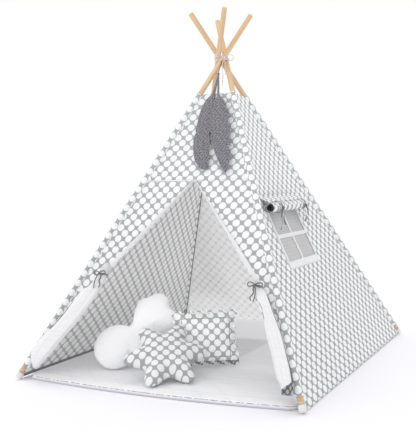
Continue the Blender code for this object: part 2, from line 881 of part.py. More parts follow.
def below_crossing(across, down, out):
    """A point of the front's plain plane, by its place across and how far down the slope it is."""
    return Vector((across, 0.0, crossing_height)) + down_front * down + front_normal * out


def make_feathers():
    """Two felt feathers hung on one dark cord from the lashing, the right-hand one in front."""
    hang = below_crossing(*feather_hang, feather_lift)
    for layer, side in enumerate(("left", "right")):
        pivot = pivot_at("feather_swing_" + side, hang)
        base = Vector(feather_bases[side])
        vane = Vector(feather_tips[side]) - base
        across = Vector((vane.y, -vane.x)).normalized() * feather_width
        eye = Vector(feather_hang)
        half = across.normalized() * stem_half
        rise = (base - eye).normalized() * -stem_half
        outline = [eye + rise - half] + [base + vane * a + across * b for a, b in feather_shares[side]]
        outline += [eye + rise + half]
        lift = feather_lift + layer * (feather_thickness + gap)

        def feather_point(a, b, depth):
            return below_crossing(a, b, lift + depth)

        prism("feather_" + side, outline, feather_point, feather_thickness, grey_felt, pivot)

    front = hang + front_normal * (2 * feather_thickness + gap * 2 + feather_cord / 2)
    top = lash_path()[0]
    top.z -= lash_cord / 2 + gap + feather_cord / 2
    route = smooth_path([front, (front + top) / 2, top], 6)
    tube("feather_cord", route, feather_cord / 2, grey_felt)


# Mat

mat_clear_width = 0.035
mat_clear_depth = 0.028
mat_half_width = base_width / 2 - mat_clear_width
mat_half_depth = base_depth / 2 - mat_clear_depth
mat_bow = 0.040
mat_corner = 0.030
mat_crown = 0.006
binding_width = 0.007


def mat_outline(inset, per_side=14):
    """The mat's rounded rectangle, whose front and back edges bow out, drawn in by an inset."""
    half_width = mat_half_width - inset
    half_depth = mat_half_depth - inset
    corner = mat_corner - inset
    points = []

    def bowed(x, y):
        return (x, y + math.copysign(mat_bow * (1 - (x / half_width) ** 2), y))

    for sx, sy, start in ((1, 1, 0), (-1, 1, 90), (-1, -1, 180), (1, -1, 270)):
        for k in range(5):
            turn = math.radians(start + 90 * k / 4)
            x = sx * (half_width - corner) + corner * math.cos(turn)
            y = sy * (half_depth - corner) + corner * math.sin(turn)
            points.append(bowed(x, y))
        if sx == sy:
            straight = spaced(half_width - corner, corner - half_width, per_side)[1:-1]
            points += [bowed(sx * x, sy * half_depth) for x in straight]
    return points


mat_level_shares = [
    (1.0, mat_thickness * 0.75),
    (0.985, mat_thickness),
    (0.85, mat_thickness + mat_crown * 0.6),
    (0.55, mat_thickness + mat_crown),
]


def make_mat():
    """The quilted floor mat, and the dotted binding sewn round its edge."""
    inner = mat_outline(binding_width + gap)
    levels = [(1.0, 0.0)] + mat_level_shares
    rings = [[Vector((x * share, y * share, z)) for x, y in inner] for share, z in levels]
    loft("mat_pad", rings, mat_cotton)
    outer = mat_outline(0.0)
    inside = mat_outline(binding_width)
    height = mat_thickness * 0.75
    edges = [
        [Vector((x, y, z)) for x, y in ring]
        for ring, z in (
            (inside, 0.0), (outer, height * 0.2), (outer, height * 0.75), (inside, height)
        )
    ]
    loft("mat_binding", edges, dotted_cotton, closed=True)


# Cushions

cushion_rings = 6
cushion_edge = 0.003


def inflate(name, outline, thickness, centre, yaw, lean, surface, flange=0.0, bend=0.0):
    """A stuffed cushion: a seam outline, a crown on both faces, a flat flange where it has one, and a lean.

    A bend makes the lower half lean more than the middle, and the upper half less."""
    right = Vector((math.cos(yaw), math.sin(yaw), 0.0))
    back = Vector((-math.sin(yaw), math.cos(yaw), 0.0))
    tall = max(y for _, y in outline)

    def leaning(x, y, swell):
        """A point from its place on the seam's plane and its distance in front of it."""
        slope = lean - bend * y / tall
        rise = y if not bend else 2 * tall / bend * math.sin(bend * y / tall / 2)
        middle = lean - bend * y / tall / 2
        up = back * math.sin(middle) + Vector((0.0, 0.0, math.cos(middle)))
        out = right.cross(back * math.sin(slope) + Vector((0.0, 0.0, math.cos(slope))))
        return right * x + up * rise + out * swell

    work = bmesh.new()

    def ring(share, swell, grow=0.0):
        row = []
        for x, y in outline:
            length = math.hypot(x, y)
            x, y = x * (share + grow / length), y * (share + grow / length)
            row.append(work.verts.new(leaning(x, y, swell)))
        return row

    rows = []
    for face in (1, -1):
        shares = [math.sin(math.pi / 2 * k / cushion_rings) for k in range(1, cushion_rings + 1)]
        swells = [
            face * (cushion_edge + (thickness - cushion_edge) * (1 - share**2.4) ** 0.62) / 2
            for share in shares
        ]
        half = [ring(share, swell) for share, swell in zip(shares, swells)]
        if flange:
            half.append(ring(1.0, face * cushion_edge / 2, flange))
        top = work.verts.new(leaning(0.0, 0.0, face * thickness / 2))
        count = len(half[0])
        for k in range(count):
            work.faces.new((top, half[0][k], half[0][(k + 1) % count]))
        for low, high in zip(half, half[1:]):
            for k in range(count):
                work.faces.new((low[k], low[(k + 1) % count], high[(k + 1) % count], high[k]))
        rows.append(half[-1])
    count = len(rows[0])
    for k in range(count):
        work.faces.new((rows[0][k], rows[0][(k + 1) % count], rows[1][(k + 1) % count], rows[1][k]))
    needed = max(
        mat_top_at(centre[0] + vert.co.x, centre[1] + vert.co.y) - vert.co.z for vert in work.verts
    )
    place = Vector((centre[0], centre[1], needed + 2 * gap))
    bmesh.ops.transform(work, matrix=Matrix.Translation(place), verts=work.verts)
    return finish(work, name, surface, pivot_at(name + "_lift", place))


def mat_top_at(x, y):
    """The height of the mat's crowned top, by how far out towards the edge the place is."""
    half_depth = mat_half_depth + mat_bow * (1 - (x / mat_half_width) ** 2)
    out = max(abs(x) / mat_half_width, abs(y) / half_depth)
    high_share, high = mat_level_shares[-1]
    if out <= high_share:
        return high
    for (share_a, a), (share_b, b) in zip(mat_level_shares, mat_level_shares[1:]):
        if share_b <= out <= share_a:
            return b + (a - b) * (out - share_b) / (share_a - share_b)
    return mat_thickness


square_width = 0.234
square_height = 0.196
square_flange = 0.024
square_thickness = 0.105
star_reach = 0.165
star_notch_share = 0.67
star_thickness = 0.080
star_turn_degrees = 5
cushion_place_shares = {"square": (0.0955, -0.488), "cloud": (-0.3858, -0.632), "star": (-0.0068, -0.813)}
cushion_turn_degrees = {"square": (32, 13, 0), "cloud": (20, 32, 0), "star": (32, 53, 13)}
cloud_thickness = 0.100
cloud_lobes = [
    (-0.070, -0.062, 0.093),
    (0.040, 0.110, 0.046),
    (0.084, 0.124, 0.051),
    (0.118, 0.060, 0.057),
    (0.056, -0.064, 0.080),
    (0.025, 0.000, 0.052),
]


def square_outline():
    """A rectangle whose sides draw in between its corners."""
    points = []
    corners = [(1, -1), (1, 1), (-1, 1), (-1, -1)]
    for (ax, ay), (bx, by) in zip(corners, corners[1:] + corners[:1]):
        for k in range(8):
            t = k / 8
            pull = 1 - 0.07 * math.sin(math.pi * t)
            x = (ax + (bx - ax) * t) * (pull if ax == bx else 1.0)
            y = (ay + (by - ay) * t) * (pull if ay == by else 1.0)
            points.append((x * square_width / 2, y * square_height / 2))
    return points


def star_outline():
    """Six blunt tips, each rounded, with soft notches between."""
    points = []
    for k in range(48):
        turn = 2 * math.pi * k / 48
        wave = (1 + math.cos(6 * (turn - math.radians(star_turn_degrees)))) / 2
        points.append((turn, star_reach * (star_notch_share + (1 - star_notch_share) * wave**1.3)))
    return [(reach * math.cos(turn), reach * math.sin(turn)) for turn, reach in points]


def cloud_outline():
    """The outer edge of round lobes, as seen from the cushion's middle."""
    points = []
    for k in range(48):
        turn = 2 * math.pi * k / 48
        dx, dy = math.cos(turn), math.sin(turn)
        reach = 0.0
        for x, y, radius in cloud_lobes:
            along = x * dx + y * dy
            off = x * dy - y * dx
            if abs(off) < radius:
                reach = max(reach, along + math.sqrt(radius**2 - off**2))
        points.append((reach * dx, reach * dy))
    return points


def make_cushions():
    """Each cushion at its place on the mat, turned, leant back and, for the star, bent."""
    kinds = {
        "square": (square_outline(), square_thickness, dotted_cotton, square_flange),
        "cloud": (cloud_outline(), cloud_thickness, white_quilt, 0.0),
        "star": (star_outline(), star_thickness, dotted_cotton, 0.0),
    }
    for kind, (outline, thickness, surface, flange) in kinds.items():
        across, deep = cushion_place_shares[kind]
        place = (across * mat_half_width, deep * mat_half_depth)
        yaw, lean, bend = (math.radians(turn) for turn in cushion_turn_degrees[kind])
        inflate("cushion_" + kind, outline, thickness, place, yaw, lean, surface, flange, bend)


make_poles()
make_foot_caps()
make_foot_loops()
make_sleeves()
make_plain_faces()
make_window()
make_shade()
for door_side in ("left", "right"):
    make_door_panel(door_side)
    make_door_fold(door_side)
    make_door_gather(door_side)
make_lashing()
make_feathers()
make_mat()
make_cushions()
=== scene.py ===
"""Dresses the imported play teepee: pine poles, dotted canopy, tied-back door, shaded window, mat, cushions and
feathers, each made again with its real finish around the same frame. Metres, +Z up, door towards -Y."""

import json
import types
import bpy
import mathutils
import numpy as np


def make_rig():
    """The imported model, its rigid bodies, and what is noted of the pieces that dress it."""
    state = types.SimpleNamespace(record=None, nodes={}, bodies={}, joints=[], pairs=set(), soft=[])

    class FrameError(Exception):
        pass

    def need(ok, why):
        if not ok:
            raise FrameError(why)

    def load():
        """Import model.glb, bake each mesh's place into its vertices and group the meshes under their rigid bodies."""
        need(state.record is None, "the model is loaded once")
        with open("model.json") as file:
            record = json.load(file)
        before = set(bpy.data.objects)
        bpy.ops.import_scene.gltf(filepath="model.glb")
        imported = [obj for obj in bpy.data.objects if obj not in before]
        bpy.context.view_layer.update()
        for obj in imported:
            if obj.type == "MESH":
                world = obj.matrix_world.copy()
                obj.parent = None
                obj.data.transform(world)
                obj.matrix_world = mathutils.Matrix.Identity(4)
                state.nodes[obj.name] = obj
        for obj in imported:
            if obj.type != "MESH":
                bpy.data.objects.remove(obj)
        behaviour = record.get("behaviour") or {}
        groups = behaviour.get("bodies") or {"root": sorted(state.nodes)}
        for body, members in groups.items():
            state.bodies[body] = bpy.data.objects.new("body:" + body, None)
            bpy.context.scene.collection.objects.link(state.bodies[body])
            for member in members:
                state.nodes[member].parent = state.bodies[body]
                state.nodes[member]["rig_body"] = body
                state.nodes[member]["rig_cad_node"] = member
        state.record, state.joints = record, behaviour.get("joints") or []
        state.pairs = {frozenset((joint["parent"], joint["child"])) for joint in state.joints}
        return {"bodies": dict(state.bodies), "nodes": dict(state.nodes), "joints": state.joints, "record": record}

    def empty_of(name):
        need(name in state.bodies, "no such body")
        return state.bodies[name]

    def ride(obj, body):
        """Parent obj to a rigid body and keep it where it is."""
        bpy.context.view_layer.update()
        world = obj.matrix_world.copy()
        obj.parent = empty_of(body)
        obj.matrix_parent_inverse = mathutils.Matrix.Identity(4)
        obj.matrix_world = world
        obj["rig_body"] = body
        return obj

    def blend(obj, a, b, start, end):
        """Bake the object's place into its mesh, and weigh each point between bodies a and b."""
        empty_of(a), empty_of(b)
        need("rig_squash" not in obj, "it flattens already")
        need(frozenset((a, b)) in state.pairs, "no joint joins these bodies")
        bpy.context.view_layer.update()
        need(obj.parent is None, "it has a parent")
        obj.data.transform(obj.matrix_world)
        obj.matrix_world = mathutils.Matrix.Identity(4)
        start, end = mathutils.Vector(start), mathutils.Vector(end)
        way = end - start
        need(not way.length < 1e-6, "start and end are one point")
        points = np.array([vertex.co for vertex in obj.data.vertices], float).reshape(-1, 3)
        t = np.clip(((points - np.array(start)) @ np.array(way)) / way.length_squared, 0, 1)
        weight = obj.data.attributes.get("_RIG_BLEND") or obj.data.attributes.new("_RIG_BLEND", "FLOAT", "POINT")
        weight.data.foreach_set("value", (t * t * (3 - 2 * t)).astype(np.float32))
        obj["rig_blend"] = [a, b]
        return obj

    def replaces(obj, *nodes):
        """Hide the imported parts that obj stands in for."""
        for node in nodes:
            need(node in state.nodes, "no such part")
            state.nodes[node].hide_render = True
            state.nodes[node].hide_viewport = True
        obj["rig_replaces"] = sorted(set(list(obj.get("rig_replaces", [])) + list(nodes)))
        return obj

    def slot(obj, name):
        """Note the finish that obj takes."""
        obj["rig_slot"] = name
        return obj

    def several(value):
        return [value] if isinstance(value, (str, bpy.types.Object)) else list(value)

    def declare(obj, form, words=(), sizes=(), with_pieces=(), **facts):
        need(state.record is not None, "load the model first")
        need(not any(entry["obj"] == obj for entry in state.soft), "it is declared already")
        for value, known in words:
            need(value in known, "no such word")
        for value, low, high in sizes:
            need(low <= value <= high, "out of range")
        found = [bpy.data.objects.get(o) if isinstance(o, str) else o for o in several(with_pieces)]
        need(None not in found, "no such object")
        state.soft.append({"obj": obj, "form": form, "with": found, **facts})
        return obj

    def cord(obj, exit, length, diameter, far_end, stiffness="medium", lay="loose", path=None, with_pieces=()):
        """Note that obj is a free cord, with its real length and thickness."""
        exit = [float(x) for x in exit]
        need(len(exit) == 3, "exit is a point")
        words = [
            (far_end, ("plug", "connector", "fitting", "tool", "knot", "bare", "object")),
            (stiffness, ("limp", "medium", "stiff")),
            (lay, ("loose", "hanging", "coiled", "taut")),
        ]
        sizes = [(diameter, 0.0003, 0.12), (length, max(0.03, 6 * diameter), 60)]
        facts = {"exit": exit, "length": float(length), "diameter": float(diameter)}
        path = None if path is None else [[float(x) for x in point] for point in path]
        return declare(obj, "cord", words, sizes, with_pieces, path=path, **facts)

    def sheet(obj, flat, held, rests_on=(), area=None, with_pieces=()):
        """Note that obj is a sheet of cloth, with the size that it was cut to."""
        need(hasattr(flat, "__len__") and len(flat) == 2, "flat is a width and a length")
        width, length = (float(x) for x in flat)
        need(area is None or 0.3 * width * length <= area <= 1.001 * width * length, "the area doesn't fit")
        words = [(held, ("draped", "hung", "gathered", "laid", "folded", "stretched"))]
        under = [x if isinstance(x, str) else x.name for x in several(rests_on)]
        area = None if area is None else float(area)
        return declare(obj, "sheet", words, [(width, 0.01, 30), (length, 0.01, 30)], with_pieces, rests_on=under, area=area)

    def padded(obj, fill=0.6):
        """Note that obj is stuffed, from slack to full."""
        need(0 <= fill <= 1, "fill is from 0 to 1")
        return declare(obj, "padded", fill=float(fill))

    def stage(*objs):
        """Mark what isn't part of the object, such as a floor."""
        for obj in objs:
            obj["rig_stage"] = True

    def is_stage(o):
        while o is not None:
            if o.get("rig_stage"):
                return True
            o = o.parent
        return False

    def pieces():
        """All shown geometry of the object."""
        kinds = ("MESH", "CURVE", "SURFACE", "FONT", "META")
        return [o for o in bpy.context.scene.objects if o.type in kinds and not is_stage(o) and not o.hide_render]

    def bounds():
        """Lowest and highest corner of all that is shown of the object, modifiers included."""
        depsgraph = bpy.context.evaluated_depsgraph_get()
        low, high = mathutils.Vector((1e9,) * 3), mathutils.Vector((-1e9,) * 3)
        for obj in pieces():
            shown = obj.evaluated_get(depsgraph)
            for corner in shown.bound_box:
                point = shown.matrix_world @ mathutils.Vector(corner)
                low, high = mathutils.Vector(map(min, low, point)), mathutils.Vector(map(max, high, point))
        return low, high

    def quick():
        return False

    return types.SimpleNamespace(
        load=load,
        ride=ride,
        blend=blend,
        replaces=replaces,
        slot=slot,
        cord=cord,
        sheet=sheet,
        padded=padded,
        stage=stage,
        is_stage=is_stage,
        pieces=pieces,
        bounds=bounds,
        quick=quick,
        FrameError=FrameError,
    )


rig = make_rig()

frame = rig.load()

import json
import math

import bmesh
import bpy
from mathutils import Euler, Vector, noise

cad_low, cad_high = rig.bounds()

# Camera
# It stands in front of the door and to the right, about as high as the middle of the tent, and looks
# slightly downward. Its principal point is a little right of the picture's middle, which the shift makes.

camera_place = (1.43526, -2.93229, 0.76980)
camera_turn_degrees = (87.2462, 1.2743, 25.8216)
camera_lens = 62.33
camera_shift = -0.0464

camera = bpy.data.objects.new("camera", bpy.data.cameras.new("camera"))
camera.location = camera_place
camera.rotation_euler = Euler([math.radians(turn) for turn in camera_turn_degrees])
camera.data.lens = camera_lens
camera.data.shift_x = camera_shift
bpy.context.scene.collection.objects.link(camera)
bpy.context.scene.camera = camera
bpy.context.scene.view_settings.view_transform = "Standard"

# Tie cords
# Soft dark cotton cord is knotted in a bow at each gathered curtain, and a thinner beige one at the lashing.
# Both were cut from a hank, pulled round once and tied by hand, so their tails hang free.

base_width, base_depth = 1.20, 1.36
crossing_height = 1.293
canopy_top, seam_height = 1.135, 0.77
canopy_hem, side_hem = 0.0232, 0.004
pole_radius = 0.011
cloth = 0.002
gap = 0.0003
side_sag, front_sag = 0.012, 0.006
sleeve_radius = 0.0144
lash_across, lash_along = 0.0125, 0.0129
lash_cord, lash_turns, lash_pitch = 0.0032, 3, 0.0042
SIDE = {"left": -1, "right": 1, "front": -1, "back": 1}
wall_run = {"front": base_depth, "back": base_depth, "left": base_width, "right": base_width}
CORNERS = [(depth, width) for depth in ("front", "back") for width in ("left", "right")]


def pole_line(depth, width):
    """A pole's floor point and its direction, which passes the crossing on its own side."""
    floor = Vector((SIDE[width] * base_width / 2, SIDE[depth] * base_depth / 2, 0.0))
    passing = Vector((-SIDE[depth] * lash_across, SIDE[width] * lash_along, crossing_height))
    return floor, (passing - floor).normalized()


def pole_at(corner, height):
    floor, along = pole_line(*corner)
    return floor + along * (height / along.z)


WALLS = {
    "front": (("front", "left"), ("front", "right"), 0, front_sag, seam_height),
    "right": (("front", "right"), ("back", "right"), 1, side_sag, canopy_hem),
    "back": (("back", "left"), ("back", "right"), 0, side_sag, canopy_hem),
    "left": (("front", "left"), ("back", "left"), 1, side_sag, canopy_hem),
}


def wall_normal(wall):
    if wall in ("front", "back"):
        return Vector((0.0, SIDE[wall] * crossing_height, wall_run[wall] / 2)).normalized()
    return Vector((SIDE[wall] * crossing_height, 0.0, wall_run[wall] / 2)).normalized()


def wall_point(wall, across, height, out=0.0):
    """A point of a canopy wall, from its place across, its height and its distance outward."""
    start, end, axis, sag, sag_from = WALLS[wall]
    a, b = pole_at(start, height), pole_at(end, height)
    share = (across - a[axis]) / (b[axis] - a[axis])
    bulge = 0.0
    if sag_from < height < canopy_top:
        bulge = math.sin(math.pi * (height - sag_from) / (canopy_top - sag_from))
    inward = sag * 4 * share * (1 - share) * bulge
    return a + (b - a) * share + wall_normal(wall) * (out - inward)


def over_wall(wall, across, height, out=0.0):
    """A point at a distance over a wall's plain plane, which has no sag."""
    run = SIDE[wall] * wall_run[wall] / 2 * (1 - height / crossing_height)
    on_plane = Vector((across, run, height) if wall in ("front", "back") else (run, across, height))
    return on_plane + wall_normal(wall) * out


def wall_out(wall, across, height):
    """How far outward of its plain plane a wall lies."""
    return (wall_point(wall, across, height) - over_wall(wall, 0.0, 0.0)).dot(wall_normal(wall))


def down_slope(wall):
    """The direction straight down a wall."""
    level = Vector((1.0, 0.0, 0.0) if wall in ("front", "back") else (0.0, 1.0, 0.0))
    down = wall_normal(wall).cross(level).normalized()
    return down if down.z < 0 else -down


def spline(a, b, c, d, t):
    """A point of the Catmull-Rom curve from b to c."""
    return (b * 2 + (c - a) * t + (a * 2 - b * 5 + c * 4 - d) * t**2 + (b * 3 - a - c * 3 + d) * t**3) / 2


def smooth_path(knots, steps):
    """Points of a smooth curve through the knots, steps to each stretch."""
    knots = [Vector(knot) for knot in knots]
    ends = [knots[0] * 2 - knots[1]] + knots + [knots[-1] * 2 - knots[-2]]
    path = []
    for four in zip(ends, ends[1:], ends[2:], ends[3:]):
        path += [spline(*four, k / steps) for k in range(steps)]
    return path + [knots[-1]]


def walked_along(points):
    """How far along a line each of its points is."""
    walked = [0.0]
    for a, b in zip(points, points[1:]):
        walked.append(walked[-1] + math.dist(a, b))
    return walked


class Value:
    """A socket of a material's nodes that takes Python's arithmetic."""

    def __init__(self, finish, socket):
        self.finish, self.socket = finish, socket

    def maths(self, operation, *numbers):
        return self.finish.node("Math", {"operation": operation}, dict(enumerate(numbers)))

    def __add__(self, other):
        return self.maths("ADD", self, other)

    def __sub__(self, other):
        return self.maths("SUBTRACT", self, other)

    def __mul__(self, other):
        return self.maths("MULTIPLY", self, other)

    def __truediv__(self, other):
        return self.maths("DIVIDE", self, other)

    def __pow__(self, other):
        return self.maths("POWER", self, other)

    def __rsub__(self, other):
        return self.maths("SUBTRACT", other, self)

    def __rtruediv__(self, other):
        return self.maths("DIVIDE", other, self)

    def __rpow__(self, other):
        return self.maths("POWER", other, self)

    __radd__, __rmul__ = __add__, __mul__

    def __abs__(self):
        return self.maths("ABSOLUTE", self)

    def sine(self):
        return self.maths("SINE", self)

    def fraction(self):
        return self.maths("FRACT", self)

    def above(self, other):
        """The greater of two values."""
        return self.maths("MAXIMUM", self, other)


class Finish:
    """A material: its Principled shader, and one method that adds any other node."""

    def __init__(self, name, roughness, **plain):
        self.material = bpy.data.materials.new(name)
        self.material.use_nodes = True
        self.tree = self.material.node_tree
        self.shader = self.tree.nodes["Principled BSDF"]
        self.set("Roughness", roughness)
        for socket, value in plain.items():
            self.set(socket.replace("_", " "), value)

    def set(self, socket, value):
        self.feed(self.shader.inputs[socket], value)

    def feed(self, socket, value):
        if isinstance(value, Value):
            self.tree.links.new(value.socket, socket)
        elif socket.type == "RGBA":
            socket.default_value = (*value, 1.0)
        else:
            socket.default_value = value

    def node(self, kind, settings=None, inputs=None, output=0):
        made = self.tree.nodes.new("ShaderNode" + kind)
        for key, value in (settings or {}).items():
            setattr(made, key, value)
        for key, value in (inputs or {}).items():
            self.feed(made.inputs[key], value)
        return Value(self, made.outputs[output])

    def cut(self):
        """The two coordinates of the flat cut, in metres."""
        flat = self.node("UVMap", {"uv_map": "cut"})
        return [self.node("SeparateXYZ", {}, {0: flat}, axis) for axis in (0, 1)]

    def grain(self, u, v, detail=3.0):
        """Soft random specks, from two coordinates that are already scaled to them."""
        at = self.node("CombineXYZ", {}, {0: u, 1: v})
        return self.node("TexNoise", {}, {"Vector": at, "Scale": 1.0, "Detail": detail})

    def ramp(self, value, low, high, start=0.0, end=1.0):
        return self.node("MapRange", {"interpolation_type": "SMOOTHSTEP"},
                         {0: value, 1: low, 2: high, 3: start, 4: end})

    def mix(self, mask, a, b):
        return self.node("Mix", {"data_type": "RGBA"}, {0: mask, 6: a, 7: b}, 2)

    def paint(self, mask, a, b):
        self.set("Base Color", self.mix(mask, a, b))

    def plain(self, colour):
        self.set("Base Color", colour)
        return self.material

    def glow(self, colour, strength):
        self.set("Emission Color", colour)
        self.set("Emission Strength", strength)

    def bump(self, height, distance):
        self.set("Normal", self.node("Bump", {}, {"Height": height, "Distance": distance, "Strength": 1.0}))
        return self.material


def grey(level):
    """A neutral colour from the level that it has on a screen, 0 to 255, by the standard screen curve."""
    share = level / 255
    linear = share / 12.92 if share <= 0.04045 else ((share + 0.055) / 1.055) ** 2.4
    return (linear, linear, linear)


def tinted(red, green, blue):
    return tuple(grey(level)[0] for level in (red, green, blue))


def cord_finish(name, light, dark, strand):
    """Twisted cord: slanting strands whose grooves are darkened by painted shade, over fine fibres. It glows
    faintly, which is painted light.
    """
    finish = Finish(name, 0.85, Sheen_Weight=0.25)
    u, v = finish.cut()
    lay = ((u + v * 0.7) * (2 * math.pi / strand)).sine()
    fibre = finish.grain(u * 900, v * 220)
    # Painted shade: the grooves between strands take the dark colour. Painted light: the cord glows faintly in its own
    # colours.
    twisted = finish.mix(finish.ramp(lay, -1.0, 0.4) * 0.7 + fibre * 0.3, dark, light)
    finish.set("Base Color", twisted)
    finish.glow(twisted, 0.08)
    return finish.bump(lay + fibre * 0.6, strand / 6)


beige_cord = cord_finish("beige_cord", tinted(252, 241, 233), tinted(230, 211, 200), 0.0022)
dark_cord = cord_finish("dark_cord", grey(96), grey(44), 0.0026)
sharp_degrees = 50
cord_sides = 12
bow_points, tail_points = 28, 12


def declare(made, body, node, slot):
    """Puts a piece on its body, with the node that it replaces and its material's slot."""
    if body:
        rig.ride(made, body)
    if node:
        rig.replaces(made, node)
    if slot:
        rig.slot(made, slot)
    return made


def link(work, name, surface, body, node=None, slot=None):
    mesh = bpy.data.meshes.new(name)
    work.to_mesh(mesh)
    work.free()
    mesh.shade_smooth()
    mesh.set_sharp_from_angle(angle=math.radians(sharp_degrees))
    mesh.materials.append(surface)
    made = bpy.data.objects.new(name, mesh)
    bpy.context.scene.collection.objects.link(made)
    return declare(made, body, node, slot)


def shaped(columns, rows, place, flat=None, around=False, ends=False):
    """A bmesh grid whose points go where place(u, v) says, rolled into a tube or ring if asked. Its flat cut,
    flat(u, v) in metres, is its UV map."""
    work = bmesh.new()
    cut = work.loops.layers.uv.new("cut")
    bmesh.ops.create_grid(work, x_segments=columns, y_segments=rows, size=0.5)
    spots = {vert: (vert.co.x + 0.5, vert.co.y + 0.5) for vert in work.verts}
    for face in work.faces:
        for loop in face.loops:
            u, v = spots[loop.vert]
            loop[cut].uv = flat(u, v) if flat else (u, v)
    for vert, (u, v) in spots.items():
        vert.co = place(u, v)
    if around:
        bmesh.ops.remove_doubles(work, verts=work.verts, dist=1e-6)
        if ends:
            bmesh.ops.holes_fill(work, edges=[edge for edge in work.edges if edge.is_boundary], sides=0)
        bmesh.ops.recalc_face_normals(work, faces=work.faces)
    return work


def tube_along(path, radius, sides, taper=None):
    """A bmesh tube along a path, its flat cut the way round it and the way along it."""
    tangents = [(b - a).normalized() for a, b in zip([path[0]] + path[:-1], path[1:] + [path[-1]])]
    tangents[0], tangents[-1] = (path[1] - path[0]).normalized(), (path[-1] - path[-2]).normalized()
    side = tangents[0].orthogonal().normalized()
    frames = []
    for tangent in tangents:
        side = (side - tangent * side.dot(tangent)).normalized()
        frames.append((side.copy(), tangent.cross(side)))
    walked = walked_along(path)
    last = len(path) - 1

    def place(u, v):
        k = round(v * last)
        wide = radius * (taper(v) if taper else 1.0)
        turn = 2 * math.pi * u
        return path[k] + (frames[k][0] * math.cos(turn) + frames[k][1] * math.sin(turn)) * wide

    def flat(u, v):
        return 2 * math.pi * radius * u, walked[round(v * last)]

    return shaped(sides, last, place, flat, around=True, ends=True)


def bow_path(centre, right, up, out, loop_reach, loop_rise, cord, tails):
    """An unbroken bow: tail, two loops and tail, whose passes at the knot lie one behind another."""
    step = (cord + gap * 3) / math.pi
    path = []
    for k in range(bow_points + 1):
        turn = -math.pi / 2 + 2 * math.pi * k / bow_points
        flat = right * loop_reach * math.cos(turn) + up * loop_rise * math.sin(2 * turn)
        path.append(centre + flat + out * step * (turn + math.pi / 2))
    first = [path[0] + right * a + up * b + out * c for a, b, c in tails[0]]
    last = [path[-1] + right * a + up * b + out * c for a, b, c in tails[1]]
    return smooth_path(first[::-1] + [path[0]], 3)[:-1] + path + smooth_path([path[-1]] + last, 3)[1:]


lash_order = [("front", "left"), ("front", "right"), ("back", "right"), ("back", "left")]


def lash_touch(corner, turn):
    """Where the lashing's axis touches a leaning pole from one side, and how far out that is."""
    height = crossing_height + lash_pitch * (turn / (2 * math.pi) - lash_turns / 2)
    look = Vector((math.cos(turn), math.sin(turn), 0.0))
    reach = pole_radius + lash_cord / 2 + 2 * gap
    along = pole_line(*corner)[1]
    flat = Vector((along.x, along.y, 0.0)).normalized()
    side = Vector((-flat.y, flat.x, 0.0))
    long_half = reach / along.z
    a, b = look.dot(flat) * long_half, look.dot(side) * reach
    size = math.hypot(a, b)
    centre = pole_at(corner, height)
    return centre + (flat * a * long_half + side * b * reach) / size, centre.dot(look) + size


def lash_path(touches):
    """The lashing's line. It hugs each pole for a quarter turn, crosses to the next, and climbs."""
    quarter = math.pi / 2

    def handover(step):
        low, high = (step - 0.5) * quarter, (step + 0.5) * quarter
        before, after = lash_order[(step - 1) % 4], lash_order[step % 4]
        for _ in range(30):
            turn = (low + high) / 2
            nearer = lash_touch(before, turn - quarter)[1] > lash_touch(after, turn - quarter)[1]
            low, high = (turn, high) if nearer else (low, turn)
        return (low + high) / 2 - quarter

    path = []
    for step in range(4 * lash_turns + 1):
        begin, end = handover(step), handover(step + 1)
        for k in range(touches):
            path.append(lash_touch(lash_order[step % 4], begin + (end - begin) * k / (touches - 1))[0])
    return path[touches // 2: -touches // 2]


lashing_route = lash_path(6)
link(tube_along(lash_path(10), lash_cord / 2, cord_sides), "lashing_turns", beige_cord, "root", "lashing",
     "beige_cord")

bow_loop_reach = 0.042
bow_knot_degrees = -50
bow_tails = (
    [(-0.004, -0.015, 0.002), (-0.009, -0.042, 0.004), (-0.007, -0.075, 0.004), (-0.010, -0.120, 0.003)],
    [(0.002, -0.015, 0.002), (0.001, -0.042, 0.004), (0.003, -0.076, 0.006)],
)
lashing_bow_lengths = (0.235, 0.189)


def make_bow(name, node, body, surface, slot, radius, path, lengths):
    """A bow as two cords that leave its knot, each round its own loop and down to its tail."""
    knot = tail_points + bow_points // 2
    for end, stretch, length in (("first", path[knot::-1], lengths[0]), ("second", path[knot:], lengths[1])):
        piece = link(tube_along(stretch, radius, cord_sides), name + "_" + end, surface, body, node, slot)
        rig.cord(piece, exit=stretch[0], length=length, diameter=radius * 2, far_end="bare",
                stiffness="limp", lay="hanging", path=stretch)


turn = math.radians(bow_knot_degrees)
bow_out = Vector((math.cos(turn), math.sin(turn), 0.0))
bow_right = Vector((-bow_out.y, bow_out.x, 0.0))
bow_reach = max(point.dot(bow_out) for point in lashing_route)
bow_front = bow_out * (bow_reach + lash_cord - 2 * gap) + Vector((0.0, 0.0, crossing_height))
bow_line = bow_path(bow_front, bow_right, Vector((0.0, 0.0, 1.0)), bow_out, bow_loop_reach,
                    bow_loop_reach * 0.3, lash_cord, bow_tails)
make_bow("lashing_bow", "lashing_bow", "root", beige_cord, "beige_cord", lash_cord / 2, bow_line,
         lashing_bow_lengths)

# Feathers
# Two feathers are cut from thick grey felt, slit along one edge, and hang on one dark cord under the lashing.
# The felt is heathered, with a faint slanting grain.

